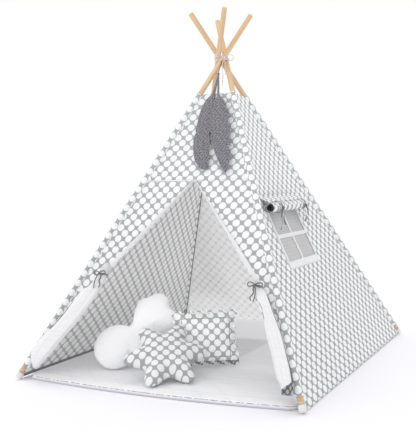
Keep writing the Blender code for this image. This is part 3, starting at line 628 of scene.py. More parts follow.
front_normal = wall_normal("front")
down_front = down_slope("front")
feather_cord = 0.0028
feather_cord_length = 0.066
feather_thickness = 0.003
feather_lift = 0.009
feather_width = 0.080
stem_half = 0.004
feather_edge, feather_edge_steps = 0.0008, 2
feather_fill = 0.72
feather_hang = (0.008, 0.088)
feather_bases = {"left": (-0.002, 0.196), "right": (0.027, 0.194)}
feather_tips = {"left": (0.028, 0.547), "right": (0.135, 0.565)}
feather_shares = {
    "left": [
        (-0.026, -0.002), (0.000, -0.109), (0.036, -0.275), (0.091, -0.390), (0.157, -0.507),
        (0.237, -0.582), (0.329, -0.625), (0.409, -0.650), (0.475, -0.668), (0.493, -0.599),
        (0.528, -0.684), (0.601, -0.711), (0.693, -0.670), (0.784, -0.599), (0.865, -0.478),
        (0.936, -0.307), (0.991, -0.086), (1.006, 0.087), (0.994, 0.243), (0.942, 0.320),
        (0.877, 0.339), (0.810, 0.301), (0.753, 0.156), (0.714, 0.218), (0.665, 0.251),
        (0.596, 0.222), (0.532, 0.134), (0.483, 0.220), (0.392, 0.232), (0.276, 0.215),
        (0.159, 0.198), (0.077, 0.186), (-0.008, 0.154),
    ],
    "right": [
        (0.024, -0.048), (0.099, -0.244), (0.176, -0.415), (0.279, -0.522), (0.386, -0.572),
        (0.517, -0.556), (0.628, -0.501), (0.716, -0.440), (0.807, -0.334), (0.898, -0.208),
        (0.968, -0.075), (1.012, 0.044), (0.965, 0.175), (0.910, 0.269), (0.869, 0.295),
        (0.813, 0.203), (0.885, 0.383), (0.816, 0.402), (0.752, 0.401), (0.638, 0.121),
        (0.701, 0.440), (0.632, 0.454), (0.572, 0.424), (0.510, 0.310), (0.558, 0.480),
        (0.485, 0.486), (0.420, 0.476), (0.364, 0.424), (0.304, 0.250), (0.354, 0.502),
        (0.290, 0.495), (0.233, 0.447), (0.178, 0.337), (0.206, 0.449), (0.150, 0.405),
        (0.084, 0.288), (0.035, 0.163), (0.012, 0.086),
    ],
}

felt = Finish("grey_felt", 0.97, Sheen_Weight=0.3)
u, v = felt.cut()
heather = felt.grain((u + v) * 185, (u - v) * 95, 2.0)
tuft = felt.grain(u * 1300, v * 1300, 2.0)
rib = ((u + v * 0.55) * 420).sine() * 0.05
felt.paint(felt.ramp(heather + rib, 0.38, 0.64), tinted(88, 87, 92), tinted(154, 152, 158))
felt_finish = felt.bump(heather + tuft * 0.6, 0.0006)


def below_crossing(across, down, out):
    """A point of the front's plain plane, by its place across and how far down the slope it is."""
    return Vector((across, 0.0, crossing_height)) + down_front * down + front_normal * out


def feather_piece(side, layer):
    """A felt feather cut from its outline, its edges just rounded, lying flat a little off the canopy."""
    base = Vector(feather_bases[side])
    vane = Vector(feather_tips[side]) - base
    across = Vector((vane.y, -vane.x)).normalized() * feather_width
    eye = Vector(feather_hang)
    half = across.normalized() * stem_half
    rise = (base - eye).normalized() * -stem_half
    outline = [eye + rise - half] + [base + vane * a + across * b for a, b in feather_shares[side]]
    outline += [eye + rise + half]
    lift = feather_lift + layer * (feather_thickness + gap)
    work = bmesh.new()
    cut = work.loops.layers.uv.new("cut")
    face = work.faces.new([work.verts.new((a, b, 0.0)) for a, b in outline])
    if face.normal.z < 0:
        bmesh.ops.reverse_faces(work, faces=work.faces)
    made = bmesh.ops.extrude_face_region(work, geom=list(work.faces))
    raised = [part for part in made["geom"] if isinstance(part, bmesh.types.BMVert)]
    bmesh.ops.translate(work, vec=(0.0, 0.0, feather_thickness), verts=raised)
    bmesh.ops.recalc_face_normals(work, faces=work.faces)
    rims = [edge for edge in work.edges if len({round(vert.co.z, 6) for vert in edge.verts}) == 1]
    bmesh.ops.bevel(work, geom=rims, offset=feather_edge, offset_type="OFFSET", affect="EDGES",
                    segments=feather_edge_steps, profile=0.5, material=-1)
    bmesh.ops.triangulate(work, faces=work.faces)
    for face in work.faces:
        for loop in face.loops:
            loop[cut].uv = loop.vert.co.xy
    for vert in work.verts:
        vert.co = below_crossing(vert.co.x, vert.co.y, lift + vert.co.z)
    bmesh.ops.recalc_face_normals(work, faces=work.faces)
    name = "feather_" + side
    piece = link(work, "felt_" + name, felt_finish, name, name, "grey_felt")
    length = (Vector(feather_tips[side]) - eye).length
    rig.sheet(piece, flat=(feather_width, length), held="hung", rests_on=["feather_cord"],
             area=feather_width * length * feather_fill)


for layer, side in enumerate(("left", "right")):
    feather_piece(side, layer)

hang = below_crossing(*feather_hang, feather_lift)
cord_front = hang + front_normal * (2 * feather_thickness + gap * 2 + feather_cord / 2)
cord_top = lashing_route[0].copy()
cord_top.z -= lash_cord / 2 + gap + feather_cord / 2
feather_route = smooth_path([cord_front, (cord_front + cord_top) / 2, cord_top], 6)[::-1]
feather_line = link(tube_along(feather_route, feather_cord / 2, cord_sides), "feather_cord_line", dark_cord,
                    "root", "feather_cord", "grey_felt")
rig.cord(feather_line, exit=feather_route[0], length=feather_cord_length, diameter=feather_cord,
        far_end="object", stiffness="limp", lay="hanging", path=feather_route)

# Poles
# Four round pine poles stand on the floor, pass each other at the lashing and fan out above it.
# The wood is pale and sanded, with streaks along it and a few darker ones.

pole_length = 1.812
pole_fillets, pole_rings, round_sides = (0.0015, 0.002), 40, 48
cap_wall, cap_floor, cap_depth, cap_fillet = 0.0022, 0.003, 0.020, 0.003

pine = Finish("pine", 0.5, Coat_Weight=0.08)
u, v = pine.cut()
drift = pine.grain(u * 6, v * 3, 2.0) * 0.02
streak = pine.grain((u + drift) * 260, v * 5, 4.0)
fine = pine.grain((u + drift) * 1400, v * 30, 2.0)
tone = pine.mix(pine.ramp(streak, 0.35, 0.68), tinted(214, 176, 132), tinted(240, 213, 176))
tone = pine.mix(pine.ramp(v, 0.08, 0.16, 0.65, 0.0), tone, tinted(198, 152, 124))
pine.paint(pine.ramp(fine, 0.3, 0.7) * 0.35, tone, tinted(226, 190, 146))
pine_finish = pine.bump(streak + fine * 0.5, 0.0004)


def cap_start(corner):
    """How far along the pole its cap's flat end is, so that the cap's rim just stands on the floor."""
    tilt = math.acos(pole_line(*corner)[1].z)
    cap_radius = pole_radius + gap + cap_wall
    height = cap_fillet * (1 - math.cos(tilt)) + (cap_radius - cap_fillet) * math.sin(tilt)
    return height / math.cos(tilt)


def turned(corner, profile, sides, lean=0.0, shift=None, cut_from=0.0, cut_scale=1.0):
    """A bmesh turned about a pole's line from (distance along, radius) pairs. Lean tips it to the canopy. Its
    flat cut starts at the turn cut_from and is scaled."""
    floor, along = pole_line(*corner)
    inward = Vector((-floor.x, -floor.y, 0.0))
    inward = (inward - along * inward.dot(along)).normalized()
    across = along.cross(inward)
    last = len(profile) - 1
    walked = walked_along(profile)
    wide = max(radius for _, radius in profile)

    def place(u, v):
        distance, radius = profile[round(v * last)]
        way = 2 * math.pi * u
        point = floor + along * (distance + lean * math.cos(way))
        point += (inward * math.cos(way) + across * math.sin(way)) * radius
        return point + shift if shift else point

    def flat(u, v):
        return (2 * math.pi * u - cut_from) * wide * cut_scale, walked[round(v * last)] * cut_scale

    return shaped(sides, last, place, flat, around=True, ends=True)


def rounded(distance, radius, fillet, way, steps=5):
    """The pairs of a rounded end: from its flat centre out to its side, or back."""
    bend = [(distance, 0.0)]
    for k in range(steps + 1):
        turn = math.pi / 2 * k / steps
        bend.append((distance + way * fillet * (1 - math.cos(turn)), radius - fillet * (1 - math.sin(turn))))
    return bend


for corner in CORNERS:
    start = cap_start(corner) + cap_floor + gap
    profile = rounded(start, pole_radius, pole_fillets[0], 1)
    profile += [(start + (pole_length - start) * k / pole_rings, pole_radius) for k in range(1, pole_rings)]
    profile += rounded(pole_length, pole_radius, pole_fillets[1], -1)[::-1]
    label = "%s_%s" % corner
    link(turned(corner, profile, round_sides), "pine_pole_" + label, pine_finish, "root", "pole_" + label,
         "pine")

# Foot caps and elastic bands
# A milky rubber cup with a rounded rim covers each pole's foot. Above it a thin white elastic is looped
# round the bare wood, leaning up towards the canopy's corner.

loop_gap_from_cap, loop_width, loop_thickness, loop_rise = 0.015, 0.007, 0.0014, 0.009
cap_rim_fall, cap_rim_soft, cap_mouth_soft = 0.0008, 0.0006, 0.0004

rubber = Finish("clear_rubber", 0.3, Transmission_Weight=0.12, IOR=1.45, Coat_Weight=0.2)
u, v = rubber.cut()
haze = rubber.grain(u * 160, v * 160)
rubber.paint(haze, tinted(236, 233, 228), tinted(250, 249, 247))
rubber_finish = rubber.bump(haze, 0.0003)

elastic = Finish("white_elastic", 0.85, Sheen_Weight=0.2)
u, v = elastic.cut()
rib = (v * (2 * math.pi / 0.0012)).sine()
thread = elastic.grain(u * 700, v * 700, 2.0)
# Painted shade: the grooves between the ribs take the darker colour.
elastic.paint(elastic.ramp(rib, -1.0, 0.2), tinted(206, 206, 208), tinted(242, 242, 243))
elastic_finish = elastic.bump(rib + thread, 0.0003)

for corner in CORNERS:
    start = cap_start(corner)
    outer, inner = pole_radius + gap + cap_wall, pole_radius + gap
    rim = start + cap_floor + cap_depth
    profile = rounded(start, outer, cap_fillet, 1)
    profile += [(rim - cap_rim_fall, outer), (rim, outer - cap_rim_soft), (rim, inner + cap_mouth_soft)]
    profile += [(rim - cap_rim_soft, inner), (start + cap_floor, inner), (start + cap_floor, 0.0)]
    label = "%s_%s" % corner
    link(turned(corner, profile, round_sides), "rubber_foot_cap_" + label, rubber_finish, "root",
         "foot_cap_" + label, "clear_rubber")
    middle = rim + loop_gap_from_cap
    low, high = middle - loop_width / 2, middle + loop_width / 2
    thick = pole_radius + gap + loop_thickness
    soft = loop_thickness / 3
    band = [(low, inner), (low, thick - soft), (low + soft, thick)]
    band += [(high - soft, thick), (high, thick - soft), (high, inner), (low, inner)]
    link(turned(corner, band, round_sides, loop_rise), "elastic_band_" + label, elastic_finish, "root",
         "foot_loop_" + label, "white_elastic")

# Canopy
# Grey cotton printed with large white dots hangs from corner sleeves that hold the poles. Its walls draw in a
# little between the poles, and its inside shows the print through the cloth, most on the left-hand wall.

dot_pitch = 0.0345
dot_radius = 0.0151
print_stretch = {"front": (1.0, 1.0), "right": (0.90, 1.08), "back": (1.0, 1.0), "left": (0.86, 1.0)}
cloth_thickness = 0.0012
sleeve_lap = 0.0006
wall_cells = 110
wrinkle, wrinkle_calm = 0.006, (0.16, 0.06)
BLACK, WHITE = (0.0, 0.0, 0.0), (1.0, 1.0, 1.0)


def print_finish(name, ground, dots, pitch=dot_pitch, radius=dot_radius, soft=0.0012, crinkle=0.002, glow=0.0,
                 seam=None, power=2, shaded_below=None, lit=None, top_painted_light=None):
    """Cotton printed with dots in a lattice turned 45 degrees, over a plain weave and soft crinkles. The glow
    is painted light, for the share of the daylight outside that comes through it. A seam is a stitched
    rectangle's half sizes. A power over 2 squares the dots. Below a height the cloth is darkened by painted
    shade, as in the mat's shade. Where the glow differs, lit gives its share from the finish and the cut. A
    pair given for the top is the print's colours there, painted light that grows with height."""
    finish = Finish(name, 0.92, Sheen_Weight=0.12)
    u, v = finish.cut()
    diagonal = math.sqrt(2) * pitch
    a, b = ((u + v) / diagonal).fraction() - 0.5, ((u - v) / diagonal).fraction() - 0.5
    away = (abs(a) ** power + abs(b) ** power) ** (1 / power) * pitch
    # Painted light: higher up, the print fades to the pair given for the top, as if lit more.
    if top_painted_light:
        high = finish.ramp(v, 0.45, 1.05)
        ground, dots = finish.mix(high, ground, top_painted_light[0]), finish.mix(high, dots, top_painted_light[1])
    ink = finish.ramp(away, radius - soft, radius + soft, 1.0, 0.0)
    worn = finish.mix(finish.grain(u * 30, v * 30) * 0.16, ground, grey(140))
    printed = finish.mix(ink, worn, dots)
    if seam:
        beside = abs((abs(u) - seam[0]).above(abs(v) - seam[1]))
        printed = finish.mix(finish.ramp(beside, 0.0008, 0.0026, 0.75, 0.0), printed, tinted(96, 98, 100))
    # Painted shade: below the given height the print darkens.
    if shaded_below:
        dark = finish.ramp(v, shaded_below, shaded_below + 0.006, 0.8, 0.0)
        printed = finish.mix(dark, printed, tinted(70, 72, 74))
    finish.set("Base Color", printed)
    # Painted light: the glow stands for daylight that comes through the cloth.
    if glow:
        finish.glow(finish.mix(lit(finish, u, v), BLACK, printed) if lit else printed, glow)
    weave = (u * 5200).sine() * (v * 5200).sine() * 0.04
    return finish.bump(finish.grain(u * 26, v * 22, 4.0) + weave, crinkle)


def lit_left(finish, u, v):
    """Painted shade: the cloth's glow is dimmer near the mat."""
    return finish.ramp(v, 0.12, 0.42, 0.70, 1.0)


def lit_back(finish, u, v):
    """Painted light: the cloth glows brighter near the floor and towards the right-hand corner."""
    low, beside = finish.ramp(v, 0.13, 0.23, 1.0, 0.0), finish.ramp(u, 0.20, 0.37, 1.0, 0.0)
    return low.above(beside) * 0.36 + 0.64


# Painted light: the outside print grows paler towards the top. The inside copies differ by painted light: the
# left-hand wall's back shows the print strongly, as if lit from behind, and each glows with painted daylight.
print_top_painted_light = (tinted(184, 188, 188), tinted(251, 253, 253))
dotted = print_finish("dotted_cotton", tinted(171, 174, 174), tinted(245, 247, 247), top_painted_light=print_top_painted_light)
dotted_left_back = print_finish("dotted_cotton_left_back", grey(168), grey(224), radius=0.0144, soft=0.003,
                                power=2.6, glow=0.34, shaded_below=0.017, lit=lit_left)
dotted_inside = print_finish("dotted_cotton_inside", grey(214), grey(235), radius=0.0146, soft=0.004,
                             power=2.6, glow=0.36, lit=lit_back)
dotted_back = print_finish("dotted_cotton_back", grey(212), grey(236), radius=0.0146, soft=0.004,
                           power=2.6, glow=0.15)

quilt_pitch = 0.019
quilt = Finish("white_quilt", 0.92, Sheen_Weight=0.12)
u, v = quilt.cut()
a, b = (abs((part / quilt_pitch).fraction() - 0.5) for part in (u, v))
groove = quilt.ramp(a.above(b), 0.34, 0.5)
# Painted shade: the quilting's grooves are a little darker.
quilt.paint(groove * 0.08, tinted(238, 238, 239), tinted(190, 190, 194))
white_quilt = quilt.bump(quilt.grain(u * 24, v * 24, 4.0) - groove * 0.22, 0.0036)


def tapered(value, low, high, fade):
    """A share that rises from 0 at low to 1 over the fade, and falls back to 0 at high."""
    near = min((value - low) / fade, (high - value) / fade)
    near = max(0.0, min(1.0, near))
    return near * near * (3 - 2 * near)


def crease(wall, across, height, depth):
    """How far a wall's soft wrinkles push it in: long ones up the slope, and cross ones low down."""
    seed = {"front": 1.3, "right": 5.1, "back": 9.7, "left": 13.9}[wall]
    long = noise.noise(Vector((across * 7.0, height * 2.1, seed)))
    slant = noise.noise(Vector((across * 5.0 + height * 6.0, height * 2.0, seed + 40)))
    small = noise.noise(Vector((across * 19.0, height * 13.0, seed + 80)))
    return depth * (0.55 * long + 0.5 * slant + 0.18 * small)


def baked(made):
    """Applies an object's modifiers to its mesh."""
    graph = bpy.context.evaluated_depsgraph_get()
    mesh = bpy.data.meshes.new_from_object(made.evaluated_get(graph))
    made.modifiers.clear()
    made.data = mesh
    return made


def cloth_piece(work, name, outside, inside, body, node, slot, thickness=cloth_thickness):
    """A sheet of real thickness, one material outside and another on its back, ready to ride or blend."""
    made = link(work, name, outside, None)
    made.data.materials.append(inside)
    solid = made.modifiers.new("thickness", "SOLIDIFY")
    solid.thickness = thickness
    solid.offset = 0.0
    solid.material_offset = 1
    return declare(baked(made), body, node, slot)


def wall_edges(wall, height):
    """Where a wall meets its two corner sleeves at a height."""
    start, end, axis, _, _ = WALLS[wall]
    a, b = pole_at(start, height), pole_at(end, height)
    way = (b - a).normalized()
    edges = []
    for corner, at, towards in ((start, a, way), (end, b, -way)):
        skew = math.sqrt(1 - towards.dot(pole_line(*corner)[1]) ** 2)
        edges.append(at[axis] + towards[axis] * (sleeve_radius - sleeve_lap) / skew)
    return edges


slope = {wall: math.hypot(1.0, wall_run[wall] / 2 / crossing_height) for wall in WALLS}


def wrinkled(wall, across, height, u, v, beside=1.0):
    """A wall's point, pushed in by its wrinkles, which die out at its edges and beside an opening."""
    calm = tapered(u, 0.0, 1.0, wrinkle_calm[0]) * tapered(v, -0.001, 1.0, wrinkle_calm[1]) * beside
    return wall_point(wall, across, height, -abs(crease(wall, across, height, wrinkle)) * calm)


def wall_sheet(wall, low, high, columns, rows, mirrored):
    """A bmesh of one wall between two heights, from sleeve to sleeve."""

    def at(u, v):
        height = low + (high - low) * v
        left, right = wall_edges(wall, height)
        return left + (right - left) * (1 - u if mirrored else u), height

    def flat(u, v):
        across, height = at(u, v)
        wide, tall = print_stretch[wall]
        return across * (-wide if mirrored else wide), height * slope[wall] * tall

    return shaped(columns, rows, lambda u, v: wrinkled(wall, *at(u, v), u, v), flat)


def stretched_wall(piece, wall, low, rests_on):
    """Declares a wall as the flat sheet that it was cut from, from its lower edge to the canopy's top."""
    left, right = wall_edges(wall, low)
    area = sum(b - a for a, b in (wall_edges(wall, low), wall_edges(wall, canopy_top))) / 2
    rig.sheet(piece, flat=(right - left, (canopy_top - low) * slope[wall]), held="stretched",
             rests_on=rests_on, area=area * (canopy_top - low) * slope[wall])


for wall, inside, hem in (("left", dotted_left_back, side_hem), ("back", dotted_inside, canopy_hem)):
    work = wall_sheet(wall, hem, canopy_top, wall_cells, wall_cells, True)
    piece = cloth_piece(work, wall + "_wall", dotted, inside, "root", wall + "_panel", "dotted_cotton")
    stretched_wall(piece, wall, hem,
                   ["sleeve_back_left", "sleeve_front_left" if wall == "left" else "sleeve_back_right"])

# Front panel above the door
# One panel of the printed cotton reaches from the canopy's top down to the cross seam, between the two front
# sleeves. Along the seam a narrow white binding is stitched on, left of the door's peak.

seam_binding, seam_tape_width, seam_end = 0.0045, 0.01, 0.03
seam_out, seam_thickness = 0.0014, 0.0008

work = wall_sheet("front", seam_height, canopy_top, 70, 44, False)
front_panel = cloth_piece(work, "front_panel_above_door", dotted, dotted_back, "root", "front_upper_panel",
                          "dotted_cotton")
stretched_wall(front_panel, "front", seam_height, ["sleeve_front_left", "sleeve_front_right"])

stitch = Finish("white_tape", 0.85, Sheen_Weight=0.1)
u, v = stitch.cut()
dash = stitch.ramp((u / 0.0045).fraction(), 0.6, 0.7, 1.0, 0.0)
near_edge = stitch.ramp(abs((v / 0.008).fraction() - 0.5), 0.36, 0.44)
twill = ((u + v) * 4200).sine()
stitch.paint(dash * near_edge * 0.5, tinted(247, 248, 249), tinted(205, 207, 210))
stitch_finish = stitch.bump(twill * 0.2 - dash * near_edge, 0.0004)

seam_low = wall_edges("front", seam_height)[0]
seam_length = seam_end - seam_low


def seam_place(u, v):
    height = seam_height + (v - 0.5) * seam_binding / slope["front"]
    return wall_point("front", seam_low + seam_length * u, height, seam_out)


work = shaped(80, 3, seam_place, lambda u, v: (seam_length * u, seam_binding * v))
seam_tape = cloth_piece(work, "door_seam_tape", stitch_finish, stitch_finish, "root", "front_upper_panel",
                        "white_tape", seam_thickness)
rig.sheet(seam_tape, flat=(seam_length, seam_tape_width), area=seam_length * seam_binding,
         held="stretched", rests_on=["front_panel_above_door"])

# Corner sleeves
# The print goes round each pole in a sewn tube, open at both ends, that stops short of the floor. Towards the
# tent's middle it shows the cloth's back, with one dark line of stitches where two walls meet.

sleeve_slack, sleeve_wall, sleeve_bottom = 0.0018, 0.0016, 0.050
sleeve_pitch = 0.032
sleeve_rings, sleeve_sides, sleeve_pinch = 120, 40, 0.0005
column_turn_degrees = {"front_left": 18, "front_right": 0, "back_left": 90, "back_right": 90}
inner_half_degrees, stitched_half_degrees = 66, 9
corner_stitch = Finish("corner_stitch", 0.95).plain(grey(118))

for corner in CORNERS:
    floor, along = pole_line(*corner)
    outward = Vector((floor.x, floor.y, 0.0))
    outward = (outward - along * outward.dot(along)).normalized()
    start, end = sleeve_bottom / along.z, (canopy_top - sleeve_wall) / along.z
    inner = pole_radius + sleeve_slack
    ring = [(start, inner), (start, sleeve_radius)]
    for k in range(1, sleeve_rings):
        pinch = (0.5 + 0.5 * math.sin(k * 1.7)) * math.sin(math.pi * k / sleeve_rings)
        ring.append((start + (end - start) * k / sleeve_rings, sleeve_radius - sleeve_pinch * pinch))
    ring += [(end, sleeve_radius), (end, inner), (start, inner)]
    label = "%s_%s" % corner
    view = Vector(camera_place) - pole_at(corner, seam_height)
    view = (view - along * view.dot(along)).normalized()
    edge = along.cross(view)
    turn = math.radians(column_turn_degrees[label])
    column = view * math.cos(turn) + edge * math.copysign(math.sin(turn), edge.dot(outward))
    across = outward.cross(along)
    cut_from = math.atan2(column.dot(across), -column.dot(outward))
    work = turned(corner, ring, sleeve_sides, shift=outward * (gap - sleeve_slack), cut_from=cut_from,
                  cut_scale=dot_pitch / sleeve_pitch)
    piece = link(work, "corner_sleeve_" + label, dotted, "root", "sleeve_" + label, "dotted_cotton")
    depth_way = across.dot(Vector((-SIDE[corner[1]], 0.0, 0.0)))
    backs = [dotted_left_back if corner[1] == "left" else dotted_back, dotted_back]
    for surface in backs + [corner_stitch]:
        piece.data.materials.append(surface)
    for face in piece.data.polygons:
        spoke = face.center - floor
        way = math.degrees(math.atan2(spoke.dot(across), -spoke.dot(outward)))
        if abs(way) < stitched_half_degrees:
            face.material_index = 3
        elif abs(way) < inner_half_degrees:
            face.material_index = 2 if way * depth_way > 0 else 1
    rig.sheet(piece, flat=(2 * math.pi * sleeve_radius, end - start), held="stretched",
             rests_on=["pole_" + label])

# Window
# The right-hand wall has an opening with grey gauze behind it, framed by white tape with a bar down and a bar
# across, and a wider sill below.

window_centre, window_width = -0.078, 0.335
window_bottom, window_bar_height, window_top = 0.435, 0.545, 0.655
bar_width, sill_width, tape = 0.016, 0.026, 0.0014
window_low, window_high = window_centre - window_width / 2, window_centre + window_width / 2
window_columns = (0.0, 0.4, 0.6, 1.0)
window_rows = ((0.0, side_hem), (0.36, window_bottom), (0.56, window_top), (1.0, canopy_top))
window_calm, window_wall_cells = 0.07, 100
gauze_thickness, gauze_sag = 0.0007, 0.0006
window_rest_middle, window_rest_half = 0.59, 0.165


def between(stops, share):
    """The value at a share, straight between the stops on either side of it."""
    for (a, low), (b, high) in zip(stops, stops[1:]):
        if share <= b + 1e-9:
            return low + (high - low) * (share - a) / (b - a)
    return stops[-1][1]


def window_wall_at(u, v):
    """The place across and the height for the right-hand wall's grid, straight beside the window."""
    height = between(window_rows, v)
    left, right = wall_edges("right", height)
    if height <= window_top + 1e-9:
        low, high = window_low, window_high
    else:
        a, b = wall_edges("right", window_top)
        low, high = (left + (right - left) * (at - a) / (b - a) for at in (window_low, window_high))
    return between(tuple(zip(window_columns, (left, low, high, right))), u), height


def window_wall_place(u, v):
    across, height = window_wall_at(u, v)
    beside = max(abs(across - window_centre) - window_width / 2,
                 abs(height - window_rest_middle) - window_rest_half)
    return wrinkled("right", across, height, u, v, max(0.0, min(1.0, beside / window_calm)))


def window_wall_flat(u, v):
    across, height = window_wall_at(u, v)
    wide, tall = print_stretch["right"]
    return across * wide, height * slope["right"] * tall


def cut_out(work, inside, stretch=(1.0, 1.0)):
    """Deletes the faces whose middle is inside, by its place across and its height on the right-hand wall."""
    cut = work.loops.layers.uv["cut"]
    gone = []
    for face in work.faces:
        x = sum(loop[cut].uv.x for loop in face.loops) / len(face.loops) / stretch[0]
        z = sum(loop[cut].uv.y for loop in face.loops) / len(face.loops) / slope["right"] / stretch[1]
        if inside(x, z):
            gone.append(face)
    bmesh.ops.delete(work, geom=gone, context="FACES")


work = shaped(window_wall_cells, window_wall_cells, window_wall_place, window_wall_flat)
cut_out(work, lambda x, z: window_low < x < window_high and window_bottom < z < window_top,
        print_stretch["right"])
right_wall = cloth_piece(work, "right_wall", dotted, dotted_back, "root", "right_panel", "dotted_cotton")
stretched_wall(right_wall, "right", side_hem, ["sleeve_front_right", "sleeve_back_right"])

gauze = Finish("window_gauze", 0.9)
u, v = gauze.cut()
thread = 2 * math.pi / 0.0042
warp = (u * thread).sine().above((v * thread).sine())
haze = gauze.grain(u * 18, v * 18, 2.0)
lozenge = ((u + v) * 210).sine() * ((u - v) * 210).sine() * 0.25
gauze.paint(lozenge + haze * 0.5 + 0.25, grey(194), grey(222))
gauze.set("Alpha", 0.9)
gauze_finish = gauze.bump(warp * 0.4 + haze, 0.0004)


def window_flat(u, v):
    return window_width * u, (window_top - window_bottom) * slope["right"] * v


def gauze_place(u, v):
    across = window_low + gap + (window_width - 2 * gap) * u
    height = window_bottom + gap + (window_top - window_bottom - 2 * gap) * v
    sag = gauze_sag * math.sin(math.pi * u * 2) * math.sin(math.pi * v * 2)
    return wall_point("right", across, height, sag)


gauze_panel = cloth_piece(shaped(24, 16, gauze_place, window_flat), "window_gauze_panel", gauze_finish,
                          gauze_finish, "root", "window_mesh", "window_gauze", gauze_thickness)
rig.sheet(gauze_panel, flat=(window_width, (window_top - window_bottom) * slope["right"]), held="stretched",
         rests_on=["right_wall"])

half_bar = bar_width / 2
bar_columns = [at + side * half_bar for at in (window_low, window_centre, window_high) for side in (-1, 0, 1)]
bar_rows = [window_bottom - sill_width / 2, window_bottom, window_bottom + sill_width / 2]
bar_rows += [window_bar_height - half_bar, window_bar_height, window_bar_height + half_bar]
bar_rows += [window_top - half_bar, window_top, window_top + half_bar]
frame_steps = 8


def listed(values, share):
    """The value at a share of the way through a list, straight between its entries."""
    place = share * (len(values) - 1)
    k = min(int(place + 1e-6), len(values) - 2)
    return values[k] + (values[k + 1] - values[k]) * (place - k)


def frame_place(u, v):
    return wall_point("right", listed(bar_columns, u), listed(bar_rows, v), cloth / 2 + 2 * gap + tape / 2)


def frame_flat(u, v):
    return listed(bar_columns, u), listed(bar_rows, v) * slope["right"]


def in_pane(x, z):
    """Whether a place is in one of the frame's four panes, between its bars."""
    beside = half_bar < abs(x - window_centre) < window_width / 2 - half_bar
    return beside and (bar_rows[2] < z < bar_rows[3] or bar_rows[5] < z < bar_rows[6])


work = shaped(frame_steps * 4, frame_steps * 4, frame_place, frame_flat)
cut_out(work, in_pane)
cloth_piece(work, "window_tape_frame", stitch_finish, stitch_finish, "root", "window_frame", "white_tape",
            tape)

# Window shade
# A flap of the canopy's cloth is sewn above the window, rolled up and tied with two grey ribbons. Its top
# stretches down to the roll as the roll is let down, in place of cloth that the roll would give out.

shade_width, shade_centre = 0.42, -0.070
shade_top, shade_height, shade_radius = 0.705, 0.646, 0.022
shade_cloth, shade_turns = 0.0018, 3
roll_steps, roll_loose, roll_pinch, roll_pinch_share = 96, 0.0045, 0.0026, 0.03
roll_lit_share, roll_rim = 0.38, 0.001
flap_length, flap_ripple = 0.056, 0.0012
ribbon, ribbon_width, tail_length = 0.0012, 0.009, 0.085
shade_ties = {"front": 0.18, "back": 0.80}
right_normal, shade_up = wall_normal("right"), -down_slope("right")
shade_ends = (shade_centre - shade_width / 2, shade_centre + shade_width / 2)


def spaced(low, high, count):
    return [low + (high - low) * k / count for k in range(count + 1)]


shade_out = max(wall_out("right", across, height) for across in spaced(*shade_ends, 8)
                for height in spaced(canopy_hem, shade_top, 8))
shade_out += cloth / 2 + gap + tape + gap + ribbon + gap + shade_radius
shade_axis = over_wall("right", 0.0, shade_height, shade_out)
spiral_pitch = (shade_radius - shade_cloth) / (shade_turns + 1)


def roll_place(u, v):
    """The spiral: its outer end is at the top, under the flap."""
    turn = 2 * math.pi * shade_turns * u
    radius = shade_radius - shade_cloth / 2 - spiral_pitch * shade_turns * u
    across = shade_ends[0] + shade_width * v
    loose = noise.noise(Vector((across * 22, math.cos(turn) * 1.6, math.sin(turn) * 1.6 + 7)))
    pinch = sum(math.exp(-((v - share) / roll_pinch_share) ** 2) for share in shade_ties.values())
    radius -= (roll_loose * abs(loose) + roll_pinch * pinch) * (1 - u)
    point = shade_axis + shade_up * radius * math.cos(turn) - right_normal * radius * math.sin(turn)
    return point + Vector((0.0, across, 0.0))


# The spiral's faces look towards its axis, so its materials change places. Its inner turns and its front end are
# painted dark grey, as painted shade.
roll_length = sum((roll_place((k + 1) / roll_steps, 0.5) - roll_place(k / roll_steps, 0.5)).length
                  for k in range(roll_steps))
work = shaped(roll_steps, 60, roll_place, lambda u, v: (shade_width * v, -roll_length * u))
rolled_shade = cloth_piece(work, "rolled_shade", dotted_back, dotted, "shade", "shade_roll", "dotted_cotton",
                           shade_cloth)
rolled_shade.data.materials.append(Finish("rolled_in_shade", 1.0).plain(grey(62)))
cut = rolled_shade.data.uv_layers["cut"].data
for face in rolled_shade.data.polygons:
    places = [cut[k].uv for k in face.loop_indices]
    if places[0].y < -roll_length * roll_lit_share or max(place.x for place in places) < roll_rim:
        face.material_index = 2

hem_out = max(wall_out("right", across, shade_top) for across in spaced(*shade_ends, 6))
hem_out += cloth / 2 + 2 * gap + shade_cloth / 2
hem_top = over_wall("right", 0.0, shade_top, hem_out)
hem_low = over_wall("right", 0.0, shade_top - shade_radius / 2, hem_out)
shade_meet = shade_axis + shade_up * (shade_radius + gap)
flap_bend = (hem_low + shade_meet) / 2 + right_normal * shade_cloth
flap_line = smooth_path([hem_top, hem_low, flap_bend, shade_meet], 8)


def flap_place(u, v):
    point = flap_line[round((1 - v) * (len(flap_line) - 1))]
    ripple = flap_ripple * noise.noise(Vector((u * 9, v * 2, 3.0))) * math.sin(math.pi * v)
    return point + Vector((0.0, shade_ends[0] + shade_width * u, 0.0)) + right_normal * abs(ripple)


work = shaped(60, len(flap_line) - 1, flap_place, lambda u, v: (shade_width * u, flap_length * v))
shade_flap = cloth_piece(work, "shade_flap", dotted, dotted_back, None, "shade_sheet", "dotted_cotton",
                         shade_cloth)
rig.blend(shade_flap, "root", "shade", hem_low, shade_meet)
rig.sheet(shade_flap, flat=(shade_width, flap_length), held="hung", rests_on=["right_wall"])

